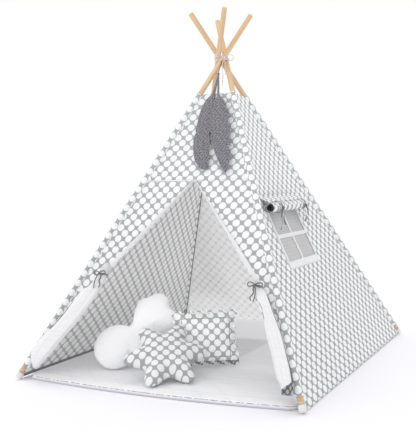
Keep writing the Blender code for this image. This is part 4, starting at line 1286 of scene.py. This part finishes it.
ribbon_finish = print_finish("tie_ribbon", grey(72), grey(138), 0.006, 0.0022, 0.0006, 0.0004)
knot_size, knot_offset = Vector((0.0042, 0.0072, 0.0062)), Vector((0.003, 0.0, -0.004))
ribbon_tail_thickness, tail_twist_degrees, tail_lean = 0.0006, 50, 0.0006
ribbon_tails = {"long": ((0.0, 0.26, 0.20, 0.40), 1.0, 1.0), "short": ((0.0, -0.12, -0.06, -0.18), 0.8, 2.6)}
shade_trim = []
for end, share in shade_ties.items():
    centre = shade_axis + Vector((0.0, shade_ends[0] + shade_width * share, 0.0))
    inner, outer = shade_radius + gap, shade_radius + gap + ribbon
    soft = shade_radius + gap + ribbon * 0.8
    band = [(inner, -0.5), (soft, -0.48), (outer, -0.4), (outer, 0.4), (soft, 0.48), (inner, 0.5)]
    band.append(band[0])

    def band_place(u, v):
        radius, side = band[round(v * 6)]
        turn = 2 * math.pi * u
        spoke = shade_up * math.cos(turn) + right_normal * math.sin(turn)
        return centre + spoke * radius + Vector((0.0, side * ribbon_width, 0.0))

    work = shaped(48, 6, band_place, lambda u, v: (0.146 * u, ribbon_width * v), around=True)
    shade_trim.append(link(work, "shade_ribbon_" + end, ribbon_finish, "shade", "shade_tie_" + end,
                           "tie_ribbon"))

    knot = centre + Vector((outer, 0.0, 0.0)) + knot_offset

    def knot_place(u, v):
        turn, lift = 2 * math.pi * u, math.pi * (v - 0.5)
        lump = 1 + 0.16 * math.sin(3 * turn + 2 * lift) * math.cos(lift)
        ball = Vector((math.cos(turn) * math.cos(lift), math.sin(turn) * math.cos(lift), math.sin(lift)))
        return knot + ball * knot_size * lump

    work = shaped(24, 16, knot_place, lambda u, v: (0.04 * u, 0.02 * v), around=True)
    shade_trim.append(link(work, "shade_knot_" + end, ribbon_finish, "shade", "shade_tails_" + end,
                           "tie_ribbon"))
    for tail, (spreads, drop, curl) in ribbon_tails.items():
        mirror = -tail_length if end == "front" else tail_length
        line = smooth_path([knot + Vector((tail_lean * k, spread * mirror, -tail_length * drop * k / 3))
                            for k, spread in enumerate(spreads)], 8)

        def tail_place(u, v):
            k = round(v * (len(line) - 1))
            twist = math.radians(tail_twist_degrees) * math.sin(v * 5.5 + curl)
            wide = Vector((math.sin(twist) * 0.5, math.cos(twist), 0.0)) * (u - 0.5) * ribbon_width
            return line[k] + wide * (0.55 + 0.45 * min(1.0, v * 5))

        work = shaped(4, len(line) - 1, tail_place, lambda u, v: (ribbon_width * u, tail_length * v))
        shade_trim.append(cloth_piece(work, "shade_ribbon_tail_%s_%s" % (end, tail), ribbon_finish,
                                      ribbon_finish, "shade", "shade_tails_" + end, "tie_ribbon",
                                      ribbon_tail_thickness))
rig.sheet(rolled_shade, flat=(shade_width, roll_length), held="folded", rests_on=["shade_flap"],
         with_pieces=shade_trim)

# Door curtains
# Each curtain hangs from the cross seam and its pole. Its free edge is folded back, with the white lining
# out, and the cloth below is gathered with a tie. A curtain that is let down turns about the seam's corner,
# so the sheet beside it bends between the tent and the gathered part.

tie_place_shares = {"left": (0.5200, 0.3047), "right": (0.5933, 0.2923)}
fold_width_top, fold_width_low, fold_puff, fold_flat_width = 0.010, 0.026, 0.0065, 0.035
fold_below_seam, fold_out = 0.004, 0.0012
door_cord, neck_half_depth = 0.004, 0.010
pull_depth, pull_folds, pull_calm = 0.0035, 22, 0.05


def on_front(shares):
    return shares[0] * base_width / 2, shares[1] * crossing_height


def face_front(work):
    """Turns a sheet's faces so that they look out of the front."""
    if sum((face.normal for face in work.faces), Vector()).dot(front_normal) < 0:
        bmesh.ops.reverse_faces(work, faces=work.faces)


def door_sheets(side):
    """A curtain's spread part: one sheet above the line from the seam's corner to the tie, and one below."""
    way = SIDE[side]
    tie_across, tie_height = on_front(tie_place_shares[side])
    tie = (way * tie_across, tie_height)

    def edge_at(height):
        return wall_edges("front", height)[0 if way < 0 else 1]

    corner = edge_at(seam_height)

    def pull(across, height):
        """Creases that run from the tie up to the seam and out to the pole."""
        dx, dz = across - tie[0], (height - tie[1]) * slope["front"]
        reach = math.hypot(dx, dz)
        fan = math.sin(math.atan2(dz, dx) * pull_folds + 1.3 * math.sin(reach * 9))
        return pull_depth * fan * tapered(reach, 0.02, 0.52, 0.16)

    def on_wall(across, height):
        calm = tapered(abs(across), -0.2, abs(edge_at(height)), 0.06)
        calm *= max(0.0, min(1.0, (seam_height - height) / pull_calm))
        return wall_point("front", across, height, -abs(pull(across, height)) * calm)

    def upper(u, v):
        top = corner * (1 - u) if way < 0 else corner * u
        return tie[0] + (top - tie[0]) * v, tie[1] + (seam_height - tie[1]) * v

    def lower(u, v):
        height = seam_height + (canopy_hem - seam_height) * v
        edge = edge_at(height)
        share = u if way < 0 else 1 - u
        return edge + (tie[0] - edge) * share, height + (tie[1] - height) * share

    def sheet(part, at, columns, rows):
        work = shaped(columns, rows, lambda u, v: on_wall(*at(u, v)),
                      lambda u, v: (at(u, v)[0], at(u, v)[1] * slope["front"]))
        bmesh.ops.remove_doubles(work, verts=work.verts, dist=1e-6)
        bmesh.ops.recalc_face_normals(work, faces=work.faces)
        face_front(work)
        return cloth_piece(work, "door_curtain_%s_%s" % (part, side), dotted, white_quilt, None,
                           "door_panel_" + side, "dotted_cotton")

    above, below = sheet("upper", upper, 60, 44), sheet("lower", lower, 44, 90)
    seam_point, tie_point = over_wall("front", tie[0], seam_height), over_wall("front", *tie)
    along = pole_line("front", side)[1]
    start = over_wall("front", corner, seam_height)
    reach = tie_point - start
    reach -= along * reach.dot(along)
    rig.blend(above, "root", "door_" + side, seam_point, tie_point)
    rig.blend(below, "root", "door_" + side, tie_point - reach, tie_point)
    width, fall = abs(corner), (seam_height - tie_height) * slope["front"]
    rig.sheet(above, flat=(width, fall), held="gathered", rests_on=["front_panel_above_door"],
             area=width * fall / 2)
    drop = (start - wall_point("front", edge_at(canopy_hem), canopy_hem)).length
    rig.sheet(below, flat=(drop, reach.length), held="gathered", rests_on=["sleeve_front_" + side],
             area=drop * reach.length / 2)
    return tie, seam_point, tie_point


def door_lining(side, tie, seam_point, tie_point):
    """The lining folded back over the curtain's edge: a narrow soft roll, from the seam to the tie."""
    way = SIDE[side]

    def place(u, v):
        height = tie[1] + (seam_height - fold_below_seam - tie[1]) * v
        share = (seam_height - height) / (seam_height - tie[1])
        width = fold_width_top * 0.5 + (fold_width_low - fold_width_top * 0.5) * min(1.0, share * 1.25)
        loose = 1 + 0.25 * noise.noise(Vector((height * 16, side == "left", 2)))
        puff = fold_puff * (0.5 + 0.5 * min(1.0, share * 2)) * loose
        spread = 1 + 0.06 * noise.noise(Vector((height * 21, 4, way)))
        across = tie[0] * share + way * width * (u - 0.03) * spread
        return wall_point("front", across, height, fold_out + puff * math.sin(math.pi * (1.25 * u - 0.25)))

    work = shaped(18, 90, place, lambda u, v: (0.03 * u, (seam_height - tie[1]) * slope["front"] * v))
    face_front(work)
    lining = cloth_piece(work, "door_lining_" + side, white_quilt, white_quilt, None, "door_fold_" + side,
                         "white_quilt")
    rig.blend(lining, "root", "door_" + side, seam_point, tie_point)
    length = (seam_point - tie_point).length
    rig.sheet(lining, flat=(fold_flat_width, length * 1.2), held="folded",
             rests_on=["door_curtain_upper_" + side], area=fold_flat_width * length * 0.9)


gather_rows = {
    "left": [
        (0.430, -0.300, -0.284), (0.412, -0.324, -0.288), (0.394, -0.331, -0.293), (0.347, -0.356, -0.298),
        (0.329, -0.380, -0.303), (0.280, -0.411, -0.324), (0.241, -0.434, -0.346), (0.180, -0.479, -0.386),
        (0.145, -0.509, -0.410), (0.096, -0.532, -0.442), (0.070, -0.526, -0.462), (0.040, -0.502, -0.490),
    ],
    "right": [
        (0.412, 0.334, 0.350), (0.395, 0.344, 0.372), (0.378, 0.345, 0.378), (0.342, 0.362, 0.416),
        (0.288, 0.404, 0.450), (0.225, 0.432, 0.492), (0.158, 0.468, 0.526), (0.096, 0.497, 0.556),
        (0.070, 0.518, 0.562), (0.046, 0.524, 0.560),
    ],
}
gather_tie_row = 2
gather_folds, gather_flat_width = 5, 0.22
gather_opening, gather_opening_share, gather_foot_share, gather_fill = 0.007, 0.16, 0.86, 0.35
gather_falls = {"left": 0.46, "right": 0.42}
gather_bow_lengths = (0.137, 0.138)
gather_bow_reach = door_cord * 7
gather_bow_tails = (
    ((-0.25, 0.5), (-0.1, 1.1), (-0.45, 1.7), (-0.3, 2.1)),
    ((0.2, 0.6), (0.35, 1.3), (0.25, 2.3)),
)
# Painted shade: a darkened copy of the print for the curtain's turned-in foot, and a plain grey for the shaded crease
# along its edge.
print_in_painted_shade = print_finish("dotted_turned_in", tinted(84, 87, 88), tinted(168, 171, 172), 0.030, 0.0115)
edge_shade = Finish("shaded_edge", 0.95).plain(grey(112))


def gather_place(side, u, v, grow=0.0):
    """A point round the gathered curtain: v from its tip above the tie to its foot, u round it."""
    rows = gather_rows[side]
    neck_at = gather_tie_row / (len(rows) - 1)
    knots = [rows[max(0, min(len(rows) - 1, int(v * (len(rows) - 1)) + k))] for k in (-1, 0, 1, 2)]
    t = v * (len(rows) - 1) - int(v * (len(rows) - 1))
    height, low, high = spline(*(Vector(knot) for knot in knots), t)
    opened = min(1.0, abs(v - neck_at) / gather_opening_share)
    half_width, middle = abs(high - low) / 2, (low + high) / 2
    foot = max(0.0, (v - gather_foot_share) / (1 - gather_foot_share))
    half_depth = (neck_half_depth + gather_opening * opened) * (1 - 0.45 * foot**2)
    fall = max(0.0, (v - neck_at) / (1 - neck_at))
    tie_across, tie_height = on_front(tie_place_shares[side])
    out = wall_out("front", SIDE[side] * tie_across, tie_height) + cloth / 2 + gap + door_cord + gap
    out += neck_half_depth + fall * (sleeve_radius + door_cord) + (half_depth - neck_half_depth)
    turn = 2 * math.pi * u
    drift = 1.4 * noise.noise(Vector((v * 3.1, SIDE[side] * 2.0, 0.4)))
    ripple = 1 - (0.05 + 0.15 * opened) * (0.5 + 0.5 * math.cos(gather_folds * turn + drift * 2))
    ripple *= 1 - 0.10 * opened * abs(noise.noise(Vector((u * 9, v * 11, SIDE[side] + 3.0))))
    squared = math.copysign(abs(math.cos(turn)) ** 0.85, math.cos(turn))
    wide = half_width * min(1.0, ripple + 0.1) + grow
    return (over_wall("front", middle, height, out) + Vector((wide, 0.0, 0.0)) * squared
            + front_normal * (half_depth * ripple + grow) * math.sin(turn))


def show_print_and_painted_shade(side, gathered):
    """The print shows where the right-hand curtain's upper edge is turned in, and at its turned-in foot the
    print is darkened by painted shade. Each curtain has a crease along its outer edge, painted as a strip of
    shade."""
    for surface in (print_in_painted_shade, edge_shade, dotted):
        gathered.data.materials.append(surface)
    cut = gathered.data.uv_layers["cut"].data
    for face in gathered.data.polygons:
        way = sum(cut[k].uv.x for k in face.loop_indices) / len(face.loop_indices) / gather_flat_width
        x, z = face.center.x, face.center.z
        if side == "left":
            if 0.42 < way < 0.52 and 0.20 < z < 0.30:
                face.material_index = 2
        elif z < 0.105 - (0.560 - x) * 0.78:
            face.material_index = 1
        elif (way > 0.955 or way < 0.065) and z < 0.36:
            face.material_index = 2
        elif 0.32 < way < 0.47 and 0.285 < z < 0.35:
            face.material_index = 3


def door_gather(side):
    """The gathered lining with its lengthwise folds, the cord round its neck and the bow."""
    body = "door_" + side
    work = shaped(72, 96, lambda u, v: gather_place(side, u % 1.0, v),
                  lambda u, v: (gather_flat_width * u, gather_falls[side] * v), around=True, ends=True)
    gathered = link(work, "gathered_curtain_" + side, white_quilt, body, "door_gather_" + side, "white_quilt")
    show_print_and_painted_shade(side, gathered)
    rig.padded(gathered, fill=gather_fill)

    neck_at = gather_tie_row / (len(gather_rows[side]) - 1)
    radius = door_cord / 2

    def tie_place(u, v):
        turn = 2 * math.pi * v
        centre = gather_place(side, u % 1.0, neck_at, radius + gap)
        middle = gather_place(side, 0.0, neck_at) * 0.5 + gather_place(side, 0.5, neck_at) * 0.5
        spoke = (centre - middle).normalized()
        return centre + spoke * radius * math.cos(turn) - down_front * radius * 1.2 * math.sin(turn)

    work = shaped(64, 12, tie_place, lambda u, v: (0.012 * v, 0.1 * u), around=True)
    link(work, "curtain_cord_" + side, ribbon_finish, body, "door_tie_" + side, "tie_ribbon")

    middle = sum((gather_place(side, k / 20, neck_at, radius + 2 * gap) for k in range(20)), Vector()) / 20
    front = middle + front_normal * (neck_half_depth + door_cord + gap + radius + gap)
    reach = gather_bow_reach
    tails = [[(reach * across, -reach * down, 0.0) for across, down in tail] for tail in gather_bow_tails]
    path = bow_path(front, Vector((SIDE[side], 0.0, 0.0)), -down_front, front_normal, reach, reach * 0.28,
                    door_cord, tails)
    make_bow("curtain_bow_" + side, "door_bow_" + side, body, ribbon_finish, "tie_ribbon", radius, path,
             gather_bow_lengths)


for side in ("left", "right"):
    door_lining(side, *door_sheets(side))
    door_gather(side)

# Floor mat
# A thin quilted mat covers the floor, with the canopy's print bound round its edge and a line of stitches
# just inside the binding. Its front and back edges bow out.

mat_thickness, mat_crown = 0.022, 0.006
mat_half_width, mat_half_depth = base_width / 2 - 0.035, base_depth / 2 - 0.028
mat_bow, mat_corner, binding_width, stitch_inset = 0.040, 0.030, 0.007, 0.048
mat_levels = ((0.0, mat_thickness + mat_crown), (0.55, mat_thickness + mat_crown),
              (0.85, mat_thickness + mat_crown * 0.6), (0.985, mat_thickness), (1.0, mat_thickness * 0.75))
mat_points, mat_turned_under, mat_quilt_pitch = 240, 0.9, 0.11
mat_painted_shade, mat_painted_light, mat_puff, mat_fill = (0.18, 0.18, 0.18), 0.18, 0.0012, 0.3


def mat_outline(inset):
    """The mat's rounded rectangle, whose front and back edges bow out, as points evenly round it."""
    half_width, half_depth, corner = mat_half_width - inset, mat_half_depth - inset, mat_corner - inset
    knots = []
    for sx, sy, start in ((1, 1, 0), (-1, 1, 90), (-1, -1, 180), (1, -1, 270)):
        for k in range(9):
            turn = math.radians(start + 90 * k / 8)
            knots.append((sx * (half_width - corner) + corner * math.cos(turn),
                          sy * (half_depth - corner) + corner * math.sin(turn)))
    knots.append(knots[0])
    walked = walked_along(knots)
    points, k = [], 0
    for step in range(mat_points):
        at = walked[-1] * step / mat_points
        while walked[k + 1] < at:
            k += 1
        t = (at - walked[k]) / (walked[k + 1] - walked[k])
        x = knots[k][0] + (knots[k + 1][0] - knots[k][0]) * t
        y = knots[k][1] + (knots[k + 1][1] - knots[k][1]) * t
        points.append((x, y + math.copysign(mat_bow * (1 - (x / half_width) ** 2), y)))
    return points


mat_quilt = Finish("mat_quilt", 0.93, Sheen_Weight=0.1)
u, v = mat_quilt.cut()
wander = mat_quilt.grain(u * 3, v * 3, 2.0) * 0.03
across = ((u + v + wander) / mat_quilt_pitch).fraction() - 0.5
other = ((u - v + wander) / mat_quilt_pitch).fraction() - 0.5
furrow = mat_quilt.ramp(abs(across).above(abs(other)), 0.46, 0.5)
fluff = mat_quilt.grain(u * 16, v * 16, 4.0)
inset = abs(v) - (mat_half_depth + mat_bow - stitch_inset) + u * u * (mat_bow / mat_half_width**2)
stitched = mat_quilt.ramp(abs(inset), 0.0012, 0.0028, 0.5, 0.0)
streak = mat_quilt.ramp(mat_quilt.grain(u * 3, v * 40), 0.52, 0.7)
# Painted shade: the quilting's furrows are a little darker. The fluff and streaks vary at random, and the stitched
# line just inside the binding is darker.
mat_quilt.paint(furrow * 0.1 + fluff * 0.2 + streak * 0.3 + stitched, tinted(236, 236, 238),
                tinted(210, 210, 215))
# Painted light: the mat glows more towards the back and right of the middle, as if lit through the back wall and the
# door, and less elsewhere, leaving a painted band of shade between.
behind = mat_quilt.ramp(v, 0.17, 0.23)
beside = mat_quilt.ramp(u, 0.11, 0.14) * mat_quilt.ramp(v, -0.42, -0.26) * 0.7
mat_quilt.glow(mat_quilt.mix(behind.above(beside), mat_painted_shade, WHITE), mat_painted_light)
mat_quilt_finish = mat_quilt.bump(fluff - furrow * 0.25, 0.0028)

mat_ring = mat_outline(binding_width + gap)


def mat_place(u, v):
    """The top runs from the middle out to the edge, and then the side drops to the flat bottom."""
    share = min(1.0, v / mat_turned_under)
    x, y = mat_ring[round(u * mat_points) % mat_points]
    height = between(mat_levels, share)
    if v > mat_turned_under:
        height *= (1.0 - v) / (1.0 - mat_turned_under)
    else:
        puff = mat_puff * noise.noise(Vector((x * share * 9, y * share * 9, 1.0))) * (1 - share)
        height -= abs(puff)
    return Vector((x * share, y * share, height))


work = shaped(mat_points, 60, mat_place, lambda u, v: mat_place(u, v).xy, around=True, ends=True)
mat_pad = link(work, "floor_mat", mat_quilt_finish, "root", "mat_pad", "mat_quilt")
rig.padded(mat_pad, fill=mat_fill)

binding = Finish("dotted_binding", 0.92, Sheen_Weight=0.1)
u, v = binding.cut()
spots = binding.ramp(binding.grain(u * 56, 0.0), 0.38, 0.56)
rim = binding.ramp(abs(v - 0.0225), 0.0012, 0.0034, 1.0, 0.0)
# Painted shade: the lower part of the binding's side is lilac-grey, like the floor's shadow under it.
side = binding.mix(binding.ramp(v, 0.012, 0.021), tinted(206, 203, 214), tinted(246, 246, 248))
binding.paint(spots * rim * 0.9, side, tinted(146, 148, 151))
binding_print = binding.bump(spots, 0.0006)
outer_ring, inner_ring = mat_outline(0.0), mat_outline(binding_width)
binding_height = mat_thickness * 0.75
binding_section = [(0.0, 0.0), (0.8, 0.04), (1.0, 0.25), (1.0, 0.7), (0.8, 0.96), (0.0, 1.0), (0.0, 0.0)]


def binding_place(u, v):
    out, up = binding_section[round(v * 6)]
    k = round(u * mat_points) % mat_points
    (ax, ay), (bx, by) = inner_ring[k], outer_ring[k]
    return Vector((ax + (bx - ax) * out, ay + (by - ay) * out, binding_height * up))


work = shaped(mat_points, 6, binding_place, lambda u, v: (4.6 * u, 0.04 * v), around=True)
link(work, "mat_edge_binding", binding_print, "root", "mat_binding", "dotted_binding")

# Cushions
# Three small cushions lie on the mat: a flanged rectangle and a star in the canopy's print, and a white
# cloud. Each is a sewn cover with soft filling, blown up here as cloth from its own solid.

cushion_voxel, cushion_swell, cushion_moments = 0.0045, 0.008, 20
cushion_cloth = {
    "quality": 6, "mass": 0.15, "tension_stiffness": 12, "compression_stiffness": 12, "shear_stiffness": 5,
    "bending_stiffness": 0.4, "use_pressure": True, "uniform_pressure_force": 4.0, "shrink_min": -0.03,
}
cushion_places = {"square": (0.0955, -0.488), "cloud": (-0.3858, -0.632), "star": (-0.0068, -0.813)}
cushion_turn_degrees = {"square": (32, 13), "cloud": (20, 32), "star": (32, 53)}
plush = Finish("white_plush", 0.95, Sheen_Weight=0.25)
u, v = plush.cut()
nap = plush.grain(u * 90, v * 90, 4.0)
plush.paint(nap, tinted(246, 246, 248), tinted(251, 251, 252))
# Painted light: the cloud glows faintly, more towards its top.
plush.glow(plush.mix(plush.ramp(v, -0.04, 0.07, 0.25, 1.0), BLACK, WHITE), 0.12)
plush_finish = plush.bump(nap, 0.0012)
cushion_grey, cushion_white = tinted(170, 173, 173), tinted(240, 242, 242)
cushion_pitch, square_dot, star_dot = 0.031, 0.0136, 0.0132
square_size, flange = (0.234, 0.196), 0.022
star_print = print_finish("dotted_star", cushion_grey, cushion_white, cushion_pitch, star_dot)
# Painted light and shade: the rectangle's print glows faintly, and its bottom edge is darkened by painted shade.
square_print = print_finish("dotted_square", cushion_grey, cushion_white, cushion_pitch, square_dot,
                            glow=0.23, shaded_below=-0.0945,
                            seam=[size / 2 - flange for size in square_size])
cushion_finish = {"square": square_print, "cloud": plush_finish, "star": star_print}
cushion_slot = {"square": "dotted_cotton", "cloud": "white_plush", "star": "dotted_cotton"}
cushion_fill = {"square": 0.6, "cloud": 0.7, "star": 0.55}


def cushion(kind):
    """A cushion from its solid: remeshed, blown up as cloth, kept within a few mm of it and smoothed."""
    source = frame["nodes"]["cushion_" + kind]
    mesh = source.data.copy()
    mesh.transform(source.matrix_world)
    made = bpy.data.objects.new("cushion_%s_cover" % kind, mesh)
    bpy.context.scene.collection.objects.link(made)
    remesh = made.modifiers.new("remesh", "REMESH")
    remesh.mode = "VOXEL"
    remesh.voxel_size = cushion_voxel
    baked(made)
    at = Vector((cushion_places[kind][0] * mat_half_width, cushion_places[kind][1] * mat_half_depth, 0.0))
    yaw, lean = (math.radians(turn) for turn in cushion_turn_degrees[kind])
    right = Vector((math.cos(yaw), math.sin(yaw), 0.0))
    back = Vector((-math.sin(yaw), math.cos(yaw), 0.0))
    up = back * math.sin(lean) + Vector((0.0, 0.0, math.cos(lean)))
    out = right.cross(up)
    rest = [vert.co.copy() for vert in made.data.vertices]
    middle = sum(rest, Vector()) / len(rest)
    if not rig.quick():
        cover = made.modifiers.new("cover", "CLOTH")
        for setting, value in cushion_cloth.items():
            setattr(cover.settings, setting, value)
        cover.settings.effector_weights.gravity = 0.0
        cover.collision_settings.use_collision = False
        cover.point_cache.frame_start, cover.point_cache.frame_end = 1, cushion_moments
        for moment in range(1, cushion_moments + 1):
            bpy.context.scene.frame_set(moment)
        baked(made)
        bpy.context.scene.frame_set(1)
    shift = sum((vert.co for vert in made.data.vertices), Vector()) / len(rest) - middle
    for vert, start in zip(made.data.vertices, rest):
        move = vert.co - shift - start
        if move.length > cushion_swell:
            move = move.normalized() * cushion_swell
        vert.co = start + move
    smoothing = made.modifiers.new("smoothing", "SMOOTH")
    smoothing.factor, smoothing.iterations = 0.5, 3
    finer = made.modifiers.new("finer", "SUBSURF")
    finer.levels = finer.render_levels = 1
    baked(made)
    cut = made.data.uv_layers.new(name="cut")
    for loop in made.data.loops:
        co = made.data.vertices[loop.vertex_index].co - middle
        cut.data[loop.index].uv = (co.dot(right), co.dot(up))
    made.data.materials.clear()
    made.data.materials.append(cushion_finish[kind])
    made.data.shade_smooth()
    declare(made, "cushion_" + kind, "cushion_" + kind, cushion_slot[kind])
    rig.padded(made, fill=cushion_fill[kind])


for kind in ("square", "cloud", "star"):
    cushion(kind)

# Floor and light
# The tent stands on a plain white floor, which isn't part of it. The light is soft and even, from a pale sky
# and one broad lamp, with a softer shadow in front and to the right.

floor_size, floor_drop, floor_glow = 40.0, 0.0006, 0.05
floor_colour = (0.862, 0.852, 0.895)
light_slant, light_level = (-0.12, -0.11, 0.0), 0.98


def floor_place(u, v):
    return Vector(((u - 0.5) * floor_size, (v - 0.5) * floor_size, -floor_drop))


floor_finish = Finish("studio_floor", 1.0)
floor_finish.glow(WHITE, floor_glow)
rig.stage(link(shaped(1, 1, floor_place), "studio_floor", floor_finish.plain(floor_colour), None))

world = bpy.data.worlds.new("studio")
bpy.context.scene.world = world
world.use_nodes = True
world.node_tree.nodes.clear()


def world_node(kind, inputs=(), operation=None):
    """A node of the world's, with its first inputs set to values or joined to other nodes' outputs."""
    made = world.node_tree.nodes.new("ShaderNode" + kind)
    if operation:
        made.operation = operation
    for socket, value in zip(made.inputs, inputs):
        if isinstance(value, bpy.types.NodeSocket):
            world.node_tree.links.new(value, socket)
        else:
            socket.default_value = value
    return made.outputs


aim = world_node("TexCoord")["Generated"]
slant = world_node("VectorMath", (aim, light_slant), "DOT_PRODUCT")["Value"]
level = world_node("Math", (slant, light_level), "ADD")[0]
lighting = world_node("Background", ((*WHITE, 1.0), level))[0]
shown = world_node("Background", ((*WHITE, 1.0), 1.0))[0]
ray = world_node("LightPath")
seen = world_node("Math", (ray["Is Camera Ray"], ray["Is Glossy Ray"]), "MAXIMUM")[0]
world_node("OutputWorld", (world_node("MixShader", (seen, lighting, shown))[0],))

key_direction = (0.26, -0.30, -0.92)
key = bpy.data.objects.new("key_light", bpy.data.lights.new("key_light", "SUN"))
key.data.energy = 0.55
key.data.angle = math.radians(35)
key.rotation_euler = Vector(key_direction).to_track_quat("-Z", "Y").to_euler()
bpy.context.scene.collection.objects.link(key)

low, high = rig.bounds()
with open("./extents.json", "w") as sizes:
    json.dump({"cad": {"low": list(cad_low), "high": list(cad_high)},
               "visual": {"low": list(low), "high": list(high)}}, sizes)
